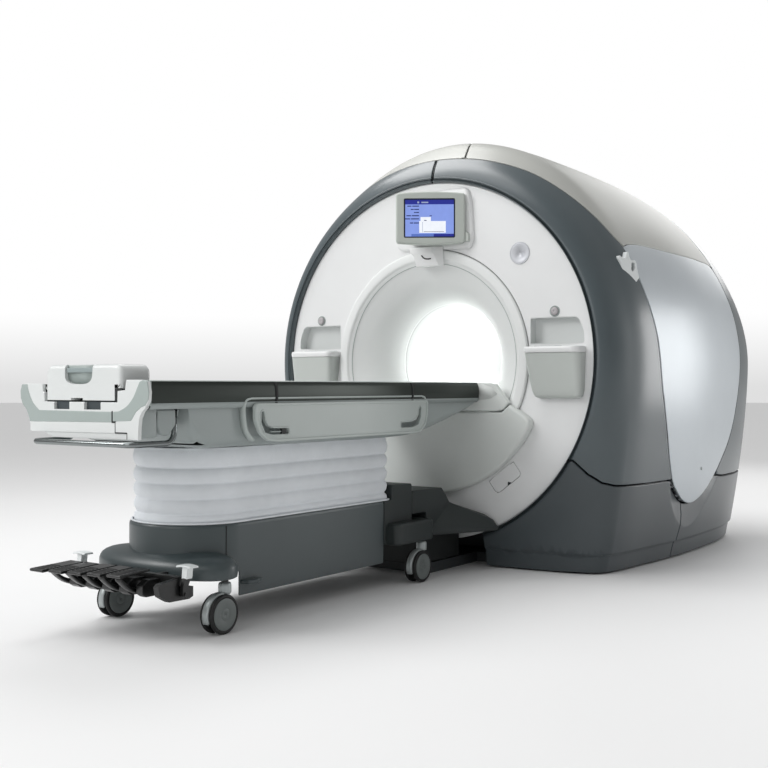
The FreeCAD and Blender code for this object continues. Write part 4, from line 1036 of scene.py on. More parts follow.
# alignment light box: front face, chamfered right cheek, dark angled window
lb = [[(-.078, -.062, 1.664), (.056, -.062, 1.664), (.106, -.030, 1.664), (.106, -.0195, 1.664), (-.086, -.0195, 1.664), (-.086, -.046, 1.664)],
      [(-.076, -.064, 1.634), (.058, -.064, 1.634), (.108, -.030, 1.634), (.108, -.0195, 1.634), (-.084, -.0195, 1.634), (-.084, -.046, 1.634)],
      [(-.056, -.062, 1.622), (.070, -.062, 1.622), (.109, -.030, 1.622), (.109, -.0195, 1.622), (-.066, -.0195, 1.622), (-.066, -.046, 1.622)],
      [(-.042, -.050, 1.560), (.096, -.050, 1.560), (.112, -.028, 1.560), (.112, -.0195, 1.560), (-.052, -.0195, 1.560), (-.052, -.040, 1.560)]]
lb = [[(x - .010, y, z) for x, y, z in row] for row in lb]
light_box = loops_object("light_box_body", lb)
b = light_box.modifiers.new("b", "BEVEL")
b.width, b.segments, b.limit_method, b.angle_limit = .005, 3, "ANGLE", rad(25)
bake(light_box)
reshade(light_box, 40)
finish_object(light_box, "gantry", "disc", "light_box")
slit = sweep("light_box_window", [(-.014, -.0628, 1.618), (-.004, -.0618, 1.606), (.010, -.0600, 1.599), (.026, -.0592, 1.5975), (.042, -.0592, 1.5990)],
             [.0034] * 5, 10)
finish_object(slit, "gantry", "dark", slot="hook_white")


# control pods
def ring_xy(z, yf, x0, x1, r_in, r_out, chamf=0.0):
    """Pod section: flat back at the disc, rounded front corners."""
    pts = [(x0, -.0012), (x0, yf), (x1, yf), (x1, -.0012)]
    poly = fillet(pts, [0, r_in, r_out, 0], 90 / 9)
    return poly


def resample(poly, n):
    A = np.array(poly, float)
    seg = np.linalg.norm(np.diff(A, axis=0), axis=1)
    t = np.concatenate([[0], np.cumsum(seg)])
    u = np.linspace(0, t[-1], n)
    return np.stack([np.interp(u, t, A[:, k]) for k in range(A.shape[1])], 1)


def pod(side):
    sx = 1 if side == "right" else -1
    levels = [(.8705, -.018, .672, .842, .015, .03), (.8715, -.034, .652, .862, .02, .05), (.876, -.044, .640, .876, .022, .058),
              (.886, -.051, .632, .884, .024, .060), (.910, -.058, .624, .889, .026, .062), (.970, -.070, .614, .892, .028, .064),
              (1.040, -.082, .605, .894, .03, .066), (1.085, -.0895, .600, .895, .032, .068), (1.093, -.0915, .599, .895, .032, .068)]
    desk = [(1.0945, -.0945, .5975, .8955, .033, .070), (1.100, -.0975, .597, .8955, .034, .072), (1.112, -.0990, .5965, .8955, .034, .073),
            (1.119, -.0980, .597, .895, .034, .073), (1.1235, -.0955, .5985, .8935, .034, .072), (1.125, -.0905, .6015, .8905, .034, .070)]
    out = []
    # the body takes the darker pod grey as painted shade under the white desk top
    for name, lv, mat in (("body", levels, "pod"), ("desk", desk, "disc")):
        loops = []
        for z, yf, x0, x1, ri, ro in lv:
            q = resample(ring_xy(z, yf, x0, x1, ri, ro), 44)
            loops.append([(sx * a, b, z) for a, b in (q if sx > 0 else q[::-1])])
        ob = loops_object("control_pod_%s_%s" % (name, side), loops, sharp=44)
        out.append((ob, mat))
    body, desk_ob = out[0][0], out[1][0]
    # sunk tray for the keys
    tray = prism("c", "z", fillet([(sx * .646, -.080), (sx * .804, -.080), (sx * .804, -.050), (sx * .646, -.050)][::sx], .006), 1.108, 1.14, 0, weighted=False)
    boolean(desk_ob, tray)
    reshade(desk_ob, 40)
    reshade(body, 44)
    finish_object(body, "gantry", "pod", "control_pod_" + side)
    finish_object(desk_ob, "gantry", "disc", "control_pod_" + side)
    # niche: a five-sided liner behind the opening, a little darker than the disc as painted shade in the recess
    liner_out = [(sx * a, b) for a, b in inset(NICHE, .0006)][::sx]
    liner = prism("niche_liner_" + side, "y", liner_out, -.0008, .0600, 0, weighted=False)
    hollow = [(sx * a, b) for a, b in inset(NICHE, .0036)][::sx]
    hl = prism("c", "y", hollow, -.02, .0555, .010, 4, angle=60)
    boolean(liner, hl)
    reshade(liner, 35)
    finish_object(liner, "gantry", "niche", "control_pod_" + side)
    key = block("control_key_bar_" + side, sorted((sx * .653, sx * .797)), (-.0755, -.0585), (1.1175, 1.1275), .002, 3)
    finish_object(key, "key_" + side, "keypad", "key_" + side)
    for k in range(6):
        x = .600 + .036 * k + (.0 if k < 2 else .0)
        for j, y in enumerate((-.028, -.010)):
            if j == 0 and k in (0,):
                continue
            dot = block("control_dimple_%d_%d_%s" % (k, j, side), sorted((sx * (x + .014), sx * (x + .034))), (y - .005, y + .005),
                        (1.1240, 1.1275), .0018, 2)
            finish_object(dot, "gantry", "band", slot="button_grey")
    cap = revolve("stop_button_cap_" + side, [(.0005, -.0125), (.010, -.0122), (.0165, -.0108), (.0198, -.0078), (.021, -.0040), (.021, .0030),
                                              (.009, .0032), (.009, .0230), (.0005, .0230)], 48, centre=(sx * .730, 1.300))
    finish_object(cap, "stop_button_" + side, "button", "stop_button_" + side)
    collar = revolve("stop_button_collar_" + side, [(.0218, -.0014), (.0228, -.0034), (.0262, -.0034), (.0276, -.0014), (.0276, .0004), (.0218, .0004)],
                     48, centre=(sx * .730, 1.300))
    finish_object(collar, "gantry", "band", slot="button_grey")


for side in ("right", "left"):
    pod(side)

# lifting hooks
# upright plates laid along the slope of the bezel's edge: (distance along the plate, z)
HOOK = [(-.0045, 1.5600), (-.0030, 1.5760), (.0060, 1.5740), (.0240, 1.5620), (.0330, 1.5640), (.0400, 1.5780), (.0450, 1.5960), (.0553, 1.5970), (.0620, 1.5740),
        (.0730, 1.5560), (.1010, 1.5560), (.1090, 1.5400), (.1110, 1.5160), (.1265, 1.4720), (.1010, 1.4430), (.0740, 1.4225), (.0610, 1.4280), (.0150, 1.5120)]
HOOK_AT = Matrix.Translation((.985, .190, 0.0)) @ Matrix.Rotation(math.atan2(.8944, .4472), 4, "Z")
for side, sx in (("right", 1), ("left", -1)):
    h = prism("lifting_hook_" + side, "y", fillet(HOOK, [.004, .005, .01, .01, .01, .01, .003, .004, .01, .012, .006, .01, .02, .010, .02, .008, .008, .02], 12),
              -.008, .022, .0035, 4, angle=40)
    boolean(h, prism("c", "y", fillet([(.0745, 1.5460), (.0955, 1.5440), (.0985, 1.5200), (.0860, 1.4980), (.0740, 1.5060)], .006), -.05, .05, 0, weighted=False))
    reshade(h, 40)
    h.data.transform(HOOK_AT)
    if sx < 0:
        h.data.transform(Matrix.Scale(-1, 4, (1, 0, 0)))
        h.data.flip_normals()
    h.data.update()
    finish_object(h, "gantry", "fitting", "lifting_hooks")

# docking apron: half disc whose upper corners are well rounded
rim = arc2(0, ZC, .700, -31.5, -148.5, 78)
corner_r = spline_pts([(.500, .836), (.560, .800), (.596, .775), (.612, .756), (.613, .735), rim[0]], 4)
ap = rim + [(-x, z) for x, z in corner_r[::-1][1:]] + [(-.456, .800), (.456, .800)] + corner_r[:-1]
apron = pillow("dock_apron_plate", "y", ap, -.055, -.003, .016, 0, 8, sharp=34)
boolean(apron, prism("c", "y", arc2(0, ZC, .5885, 0, 354, 59), -.0195, .02, 0, weighted=False))
reshade(apron, 34)
finish_object(apron, "gantry", "apron", "dock_apron")

# bridge between the table and the bore
bridge = []
W1 = [(-.470, .812), (-.500, .846), (-.425, .936), (-.405, .946), (-.330, .948), (-.246, .948), (-.240, .884), (.240, .884), (.246, .948), (.330, .948),
      (.405, .946), (.425, .936), (.500, .846), (.470, .812), (.440, .804), (-.440, .804)]
w = prism("bridge_shoulders", "y", W1, -.058, -.020, .006, 4, angle=25)
finish_object(w, "gantry", "apron", "bridge")
for sx in (1, -1):
    lp = []
    for y, dz in ((-.0585, 0.0), (-.030, -.002), (.000, -.010), (.060, -.030), (.105, -.052)):
        lp.append([(sx * a, y, b) for a, b in ((.252, .900 + dz), (.252, .946 + dz), (.300, .9465 + dz), (.352, .942 + dz), (.405, .925 + dz), (.440, .890 + dz),
                                               (.402, .868 + dz), (.330, .858 + dz))])
    sh = loops_object("bridge_wing_%s" % ("right" if sx > 0 else "left"), lp, sharp=40)
    finish_object(sh, "gantry", "apron", "bridge")
tr = prism("bridge_track", "y", [(-.165, .842), (.165, .842), (.200, .866), (.200, .884), (-.200, .884), (-.200, .866)], -.0575, 1.850, .003, 2)
finish_object(tr, "gantry", "bell", "bridge")

# docking station
st = [(-.548, .318), (-.548, .430), (-.283, .426), (-.252, .398), (-.212, .351), (-.060, .296), (-.024, .286), (-.024, .200), (-.408, .200), (-.425, .216), (-.425, .318)]
slab = prism("dock_slab", "x", fillet(st, [.004, .014, .016, .01, .03, .01, 0, 0, .006, .006, .01], 10), -.250, .250, .010, 4, angle=40)
boolean(slab, block("c", (-.07, .07), (-.58, -.46), (.340, .372), 0, weighted=False))
reshade(slab, 36)
finish_object(slab, "gantry", "dock", "dock_station")
# lower core under the slab and flares, near black as painted shadow beneath the overhang
core = block("dock_core_painted_shadow", (-.195, .195), (-.412, -.0245), (.053, .206), .006, 3)
finish_object(core, "gantry", "dark", "dock_station")
FLARE = [(.240, -.215, .350), (.240, -.026, .300), (.349, -.026, .275), (.398, -.026, .251), (.430, -.026, .215), (.430, -.026, .1985), (.240, -.026, .1985),
         (.240, -.398, .1985), (.248, -.398, .225), (.248, -.215, .348)]
for sx in (1, -1):
    flare = hull_of("dock_flare_%s" % ("right" if sx > 0 else "left"), [(sx * x, y, z) for x, y, z in FLARE], .007, 3)
    finish_object(flare, "gantry", "dock", "dock_station")

# ------------------------------------------------------------------ table cart
STAD_Y, HEAD_Y = -1.765, -.780


def stadium(r, yc, yh, n=36, corner=.012):
    """Outline (x, y), counter-clockwise from the head's right corner."""
    return arc_corner(r, yh, corner) + [(r * math.cos(rad(a)), yc + r * math.sin(rad(a))) for a in np.linspace(180, 360, n + 1)]


def arc_corner(r, yh, c):
    right = [(r - c + c * math.cos(rad(a)), yh - c + c * math.sin(rad(a))) for a in np.linspace(0, 90, 5)]
    left = [(-r + c + c * math.cos(rad(a)), yh - c + c * math.sin(rad(a))) for a in np.linspace(90, 180, 5)]
    return right + left


def stad_loop(r, z, yc=STAD_Y, yh=HEAD_Y, n=36, corner=.012):
    return [(x, y, z) for x, y in stadium(r, yc, yh, n, corner)]


base_loops = [stad_loop(.2445, .115), stad_loop(.2475, .118), stad_loop(.2490, .150), stad_loop(.2500, .210), stad_loop(.2500, .385), stad_loop(.2485, .3945),
              stad_loop(.2445, .3995), stad_loop(.240, .4000), stad_loop(.190, .4000, yh=HEAD_Y - .05), stad_loop(.190, .3920, yh=HEAD_Y - .05),
              stad_loop(.241, .3900, yh=HEAD_Y - .009), stad_loop(.2405, .119, yh=HEAD_Y - .009)]
base = loops_object("base_cover_shell", base_loops, ring=True, sharp=30)
boolean(base, block("c", (-.40, .40), (-2.3, -1.761), (.05, .2100), 0, weighted=False))
reshade(base, 30)
finish_object(base, "table_cart", "base", "base_cover")
for sx in (1, -1):
    seam_at = (sx * .2496 * math.cos(rad(15.1)), STAD_Y - .2496 * math.sin(rad(15.1)))
    seam = sweep("base_seam_%s" % ("right" if sx > 0 else "left"), [seam_at + (z,) for z in (.2125, .300, .392)], .0026, 10)
    finish_object(seam, "table_cart", "dark", slot="base_slate")
    foot = prism("base_foot_%s" % ("right" if sx > 0 else "left"), "z",
                 fillet([(sx * .244, -1.760), (sx * .285, -1.750), (sx * .292, -1.700), (sx * .280, -1.665), (sx * .244, -1.655)][::sx], .012), .160, .176, .005, 3)
    finish_object(foot, "table_cart", "base", slot="base_slate")


def super_loop(cx, cy, hx, hy, z, e=3.2, n=64):
    out = []
    for k in range(n):
        a = 2 * math.pi * k / n
        c, s = math.cos(a), math.sin(a)
        out.append((cx + hx * math.copysign(abs(c) ** (2 / e), c), cy + hy * math.copysign(abs(s) ** (2 / e), s), z))
    return out


wing_lv = [(.338, .138, .2060), (.346, .1455, .2100), (.348, .1475, .2220), (.348, .1470, .2450), (.343, .1420, .2580), (.334, .1350, .2690), (.318, .1230, .2790),
           (.296, .1060, .2870), (.268, .0860, .2930), (.232, .0620, .2980), (.190, .0380, .3005)]
wing = loops_object("toe_cover_shell", [super_loop(0, -1.9100, hx - .006, hy, z, 2.2) for hx, hy, z in wing_lv], sharp=50)
boolean(wing, block("c", (-.205, .275), (-2.20, -2.058), (.18, .262), 0, weighted=False))
reshade(wing, 50)
finish_object(wing, "table_cart", "base", "toe_cover")

# head-end block: tall part against the base, lower ledge over the head castors
hb = prism("head_block_case", "x", fillet([(-.7790, .200), (-.7790, .398), (-.720, .401), (-.716, .470), (-.552, .466), (-.552, .200)], [0, .004, .004, .012, .012, .004]),
           -.250, .250, .009, 4, angle=40)
finish_object(hb, "table_cart", "dock", "head_block")
ledge = prism("head_block_ledge", "z", fillet([(-.310, -.757), (.310, -.757), (.310, -.441), (-.310, -.441)], .030), .193, .292, .012, 5, angle=40)
finish_object(ledge, "table_cart", "dock", "head_block")
lug = block("dock_lug", (-.055, .055), (-.56, -.490), (.347, .365), .004, 3)
finish_object(lug, "table_cart", "steel", "head_block")
deck = prism("base_deck", "z", fillet([(-.238, -.7805), (.238, -.7805), (.238, -.7235), (-.238, -.7235)], .006), .3985, .4030, .0015, 2)
finish_object(deck, "table_cart", "hull", slot="base_slate")

# castors
for end, y in (("foot", -1.885), ("head", -.523)):
    for side, sx in (("right", 1), ("left", -1)):
        tag = "%s_%s" % (end, side)
        x, yw, r = sx * .285, y - .030, .075
        parts = []
        band = []
        for k in range(25):
            a = rad(20 + (202 - 20) * k / 24)
            c, s = math.cos(a), math.sin(a)
            ro, ri = .0795, .066
            band.append([(x - .0150, yw + ri * c, r + ri * s), (x - .0150, yw + (ro - .002) * c, r + (ro - .002) * s), (x - .0130, yw + ro * c, r + ro * s),
                         (x + .0130, yw + ro * c, r + ro * s), (x + .0150, yw + (ro - .002) * c, r + (ro - .002) * s), (x + .0150, yw + ri * c, r + ri * s)])
        hood = loops_object("castor_hood_" + tag, band, sharp=40)
        finish_object(hood, "castor_fork_" + tag, "hood", "castor_fork_" + tag)
        prof = [(.0005, .148), (.0225, .148), (.0245, .151), (.0250, .160), (.0250, .178), (.0240, .1845), (.0215, .1885), (.0120, .1893), (.0120, .1903), (.0005, .1903)]
        lp = [[(x + rr * math.cos(2 * math.pi * k / 40), y + rr * math.sin(2 * math.pi * k / 40), zz) for rr, zz in prof] for k in range(40)]
        neck = loops_object("castor_neck_" + tag, lp, closed=True, ring=True, sharp=40)
        finish_object(neck, "castor_fork_" + tag, "hood", "castor_fork_" + tag)
        web = prism("castor_web_" + tag, "x", fillet([(y + .017, .150), (y - .044, .150), (yw - .020, .120), (yw - .012, .066), (yw + .012, .066), (yw + .030, .110)], .005),
                    x - .0130, x + .0130, .002, 2)
        finish_object(web, "castor_fork_" + tag, "dark", "castor_fork_" + tag)
        for t in (1, -1):
            a, bb = x + t * .0160, x + t * .0315
            m = x + t * .0238
            prof = [(.012, a), (.066, a), (.0715, a + t * .0012), (.0742, a + t * .0040), (.0750, m), (.0742, bb - t * .0040), (.0715, bb - t * .0012), (.0665, bb),
                    (.0640, bb - t * .0002), (.0625, bb - t * .0022), (.012, bb - t * .0022)]
            tread = turn_x("castor_tread_%s_%s" % (tag, "a" if t > 0 else "b"), prof, (yw, r), 64, sharp=32)
            finish_object(tread, "castor_wheel_" + tag, "rubber", "castor_wheel_" + tag)
            hub = turn_x("castor_hub_%s_%s" % (tag, "a" if t > 0 else "b"),
                         [(.0005, bb - t * .0021), (.0605, bb - t * .0021), (.0605, bb - t * .0006), (.0590, bb + t * .0002), (.0500, bb + t * .0008), (.0250, bb + t * .0011),
                          (.0240, bb + t * .0003), (.0225, bb + t * .0003), (.0215, bb + t * .0011), (.0005, bb + t * .0014)], (yw, r), 64, sharp=32)
            finish_object(hub, "castor_wheel_" + tag, "hub", slot="castor_silver")
        axle = turn_x("castor_axle_" + tag, [(.0005, x - .0165), (.0058, x - .0165), (.0058, x + .0165), (.0005, x + .0165)], (yw, r), 24)
        finish_object(axle, "castor_wheel_" + tag, "steel", slot="castor_silver")
        for k, (dx, dy) in enumerate(((-.0065, -.003), (.0075, .002))):
            pin = sweep("castor_pin_%s_%d" % (tag, k), [(x + dx, y + dy, .1905), (x + dx, y + dy, .199), (x + dx, y + dy, .2085)], .0032, 12)
            finish_object(pin, "table_cart", "steel", slot="castor_silver")

# pedals
for i in range(5):
    x = -.250 + .092 * i
    ped = "foot_pedal_%d" % (i + 1)
    # flat ribbed blade, rising towards its hinge end
    w, yf, up = .0365, -2.334 + .012 * i, .0015 * i
    side = [(yf, .2405 + up), (yf + .004, .2370 + up), (-2.225, .2420 + up), (-2.140, .2475 + up), (-2.140, .2550 + up), (-2.225, .2520 + up), (yf + .004, .2490 + up), (yf, .2460 + up)]
    blade = prism(ped + "_blade", "x", side, x - w, x + w, .0025, 3, angle=25)
    finish_object(blade, ped, "black", ped)
    path = spline_pts([(x, -2.262, .2360), (x, -2.235, .2120), (x, -2.205, .1925), (x, -2.165, .1790), (x, -2.125, .1740), (x, -2.100, .1740)], 5)
    arm_lp = []
    for q in path:
        t = (q[1] + 2.262) / .162
        hw, hh = .0165 - .006 * t, .0085 + .0045 * t
        arm_lp.append([(q[0] + hw * math.copysign(abs(math.cos(a)) ** .6, math.cos(a)), q[1], q[2] + hh * math.copysign(abs(math.sin(a)) ** .6, math.sin(a)))
                       for a in np.linspace(0, 2 * math.pi, 20, endpoint=False)])
    arm = loops_object(ped + "_arm", arm_lp, sharp=50)
    finish_object(arm, ped, "black", ped)
    hub = turn_x(ped + "_hub", [(.0072, x - .011), (.0130, x - .011), (.0140, x - .010), (.0140, x + .010), (.0130, x + .011), (.0072, x + .011)], (-2.100, .176), 32)
    finish_object(hub, ped, "black", ped)
    for k in range(5):
        yy = yf + .018 + .018 * k
        top_z = float(np.interp(yy, [yf + .004, -2.225, -2.140], [.2490 + up, .2520 + up, .2550 + up]))
        rib = block("%s_rib_%d" % (ped, k), (x - .028, x + .028), (yy - .0020, yy + .0020), (top_z - .002, top_z + .0018), .0012, 2)
        finish_object(rib, ped, "rubber", slot="pedal_black")
# dark housing between and beside the pedal arms
for k in range(5):
    x0 = -.250 + .092 * k + .021
    hs_ob = prism("pedal_housing_%d" % (k + 1), "x", fillet([(-2.196, .176), (-2.176, .164), (-2.112, .164), (-2.112, .226), (-2.166, .226), (-2.196, .208)], .006),
                  x0, x0 + (.050 if k < 4 else .034), .003, 3)
    finish_object(hs_ob, "table_cart", "black", slot="pedal_black")
for side, sx in (("right", 1), ("left", -1)):
    nm = "brake_pedal_" + side
    xs = sorted((sx * .250, sx * .320))
    tr = []
    for t in np.linspace(0, 1, 9):
        xx = xs[0] + (xs[1] - xs[0]) * t
        up = .0035 * math.sin(math.pi * t)
        tr.append([(xx, -2.1055, .2708 + up), (xx, -2.1055, .2762 + up), (xx, -2.1000, .2785 + up), (xx, -2.0660, .2785 + up), (xx, -2.0605, .2762 + up), (xx, -2.0605, .2708 + up)])
    tread = loops_object(nm + "_tread", tr, sharp=40)
    b = tread.modifiers.new("b", "BEVEL")
    b.width, b.segments, b.limit_method, b.angle_limit = .0015, 2, "ANGLE", rad(40)
    bake(tread)
    reshade(tread, 40)
    finish_object(tread, nm, "fitting", nm)
    lever = prism(nm + "_lever", "x", fillet([(-2.112, .172), (-2.100, .163), (-2.088, .172), (-2.087, .200), (-2.072, .234), (-2.101, .234), (-2.113, .200)],
                                             [.01, .008, .01, .006, .001, .001, .006]), *sorted((sx * .278, sx * .294)), .003, 3)
    finish_object(lever, nm, "black", nm)
    web = prism(nm + "_web", "x", fillet([(-2.072, .231), (-2.070, .240), (-2.067, .2735), (-2.098, .2735), (-2.101, .240), (-2.101, .231)], .002),
                *sorted((sx * .274, sx * .300)), .002, 3)
    finish_object(web, nm, "fitting", nm)

# ------------------------------------------------------------------ bellows
BZ0, BZ1 = .403, .694
folds = [.410, .465, .525, .585, .645]
edges = [.396] + [(folds[k] + folds[k + 1]) / 2 for k in range(4)] + [.700]
zz = np.linspace(BZ0, BZ1, 75)
n_ar = 72


def fold_depth(z):
    k = int(np.searchsorted(edges, z)) - 1
    k = min(max(k, 0), 4)
    lo_e, hi_e = edges[k], edges[k + 1]
    t = (z - lo_e) / (hi_e - lo_e)
    return .0150 * (1 - math.sin(math.pi * min(max(t, 0), 1)) ** .55)


def wob(u, z, seed):
    return .0016 * (math.sin(7.0 * u + 21 * z + seed) + .7 * math.sin(13.0 * u - 33 * z + 2.1 * seed) + .5 * math.sin(29 * u + 57 * z + seed * .7))


def bell_loop(z, off, w=1.0):
    base_l = stadium(.2415 - off, -1.757, -.7225 - off * .6, n_ar, .030)
    A = np.array(base_l)
    dense = resample(np.vstack([A, A[:1]]), 241)[:-1]
    out = []
    for k, (x, y) in enumerate(dense):
        u = 2 * math.pi * k / len(dense)
        d = w * (wob(u * 3, z, 1.3) - .0030)
        c = np.array([0, min(max(y, -1.757), -.90)])
        v = np.array([x, y]) - c
        L = np.linalg.norm(v)
        q = c + v * (1 + d / L)
        out.append((q[0], q[1], z))
    return out


b_loops = [bell_loop(z, fold_depth(z), 1.0 if BZ0 + .004 < z < BZ1 - .004 else .4) for z in zz]
b_loops += [bell_loop(z, fold_depth(z) + .004, .5) for z in zz[::-1][::3]]
bellows = loops_object("bellows_sleeve", b_loops, ring=True, sharp=0)
bellows.data.polygons.foreach_set("use_smooth", [True] * len(bellows.data.polygons))
finish_object(bellows, "table_cart", "bellows", "bellows")
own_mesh(bellows)
pip_path = stadium(.2455, -1.757, -.7200, 48, .030)
pip = []
A = resample(np.vstack([pip_path, pip_path[:1]]), 161)[:-1]
for k in range(len(A)):
    t = A[(k + 1) % len(A)] - A[k - 1]
    nrm = np.array([t[1], -t[0]]) / np.linalg.norm(t)
    pip.append([(A[k][0] + nrm[0] * .0042 * math.cos(a), A[k][1] + nrm[1] * .0042 * math.cos(a), .4042 + .0042 * math.sin(a)) for a in np.linspace(0, 2 * math.pi, 10, endpoint=False)])
piping = loops_object("bellows_foot_piping", pip, ring=True, sharp=60)
finish_object(piping, "table_cart", "piping", slot="bellows_white")

# ------------------------------------------------------------------ table top
TT = [(-.340, .862), (-.330, .850), (-.245, .850), (-.245, .860), (.245, .860), (.245, .850), (.330, .850), (.340, .862), (.3435, .885), (.344, .905), (.341, .928),
      (.335, .943), (.326, .950), (.300, .950), (.245, .950), (.245, .876), (-.245, .876), (-.245, .937), (-.300, .937), (-.324, .937), (-.333, .931), (-.339, .920),
      (-.3425, .905), (-.3425, .885)]
top = prism("table_top_extrusion", "y", TT, -2.3120, -.0750, .0025, 3, angle=35)
finish_object(top, "table_top", "extrusion", "table_frame")
mast = prism("lift_mast", "z", [(-.080, -1.530), (.080, -1.530), (.080, -.970), (-.080, -.970)], .436, .861, .003, 2)
finish_object(mast, "table_top", "iron", "table_frame")
for sx in (1, -1):
    tag = "right" if sx > 0 else "left"
    for k, yy in enumerate((-1.653, -.687)):
        prof = [(.2460, .9500), (.2460, .9506), (.3265, .9508), (.3365, .9440), (.3425, .9285), (.3452, .9050), (.3447, .8845), (.3412, .8610), (.3300, .8490), (.3290, .8498)]
        lp = [[(sx * a, y, z) for a, z in prof + [(.3250, .858), (.335, .868), (.338, .905), (.334, .930), (.322, .944), (.250, .946)]] for y in (yy - .0085, yy + .0085)]
        st = loops_object("top_strap_%s_%d" % (tag, k), lp, sharp=50)
        finish_object(st, "table_top", "strap", slot="table_dark")
        hook = prism("top_strap_hook_%s_%d" % (tag, k), "x", fillet([(yy - .024, .833), (yy - .018, .852), (yy - .006, .868), (yy + .006, .868), (yy - .004, .850), (yy - .010, .833)], .003),
                     *sorted((sx * .338, sx * .3472)), .001, 2)
        finish_object(hook, "table_top", "strap", slot="table_dark")
    strip = prism("top_lower_trim_%s" % tag, "y", [(sx * .3285, .8485), (sx * .3305, .8490), (sx * .3412, .8612), (sx * .3426, .8700), (sx * .3405, .8700), (sx * .3285, .8510)][::sx],
                  -2.3110, -.0760, 0, weighted=False)
    finish_object(strip, "table_top", "hull", slot="hull_grey")
    if sx < 0:
        continue
    # light strip along the top edge of the right extrusion only: painted highlight of the edge's bevel
    line = prism("top_edge_painted_highlight_%s" % tag, "y", [(sx * .3150, .9495), (sx * .3290, .9495), (sx * .3330, .9465), (sx * .3315, .9485), (sx * .3280, .9509), (sx * .3150, .9512)][::sx],
                 -2.3115, -.0755, 0, weighted=False)
    finish_object(line, "table_top", "rail", slot="table_dark")

# hull under the top
HULL = [(-2.112, .849), (-2.096, .776), (-2.056, .722), (-1.996, .700), (-.700, .698), (-.560, .712), (-.400, .744), (-.250, .785), (-.120, .828), (-.080, .849)]
hs = spline_pts(HULL[:4], 6)[:-1] + spline_pts(HULL[3:], 6)


def hull_loops():
    ys = sorted({round(float(v), 4) for v in np.concatenate([np.linspace(-2.112, -1.98, 18), np.linspace(-1.98, -.70, 22), np.linspace(-.70, -.080, 26)])})
    A = np.array(hs)
    yo = A[:, 0]
    loops = []
    for y in ys:
        zb = float(np.interp(y, yo, A[:, 1]))
        zb = min(zb, .8475)
        h = .849 - zb
        r = min(.045, h * .45)
        half = []
        for a in np.linspace(0, 90, 8):
            half.append((.318 - r + r * math.sin(rad(a)), zb + r - r * math.cos(rad(a))))
        half.append((.318, .849))
        ring = [(x, y, z) for x, z in half] + [(-x, y, z) for x, z in half[::-1]]
        loops.append(ring)
    return loops


hull_ob = loops_object("table_hull", hull_loops(), sharp=34)
hole = block("c", (-.108, .108), (-1.563, -.937), (.60, .80), 0, weighted=False)
boolean(hull_ob, hole)
well = block("c", (-.300, .300), (-2.05, -.62), (.712, .860), 0, weighted=False)
boolean(hull_ob, well)
reshade(hull_ob, 34)
finish_object(hull_ob, "table_top", "hull", "hull_cover")

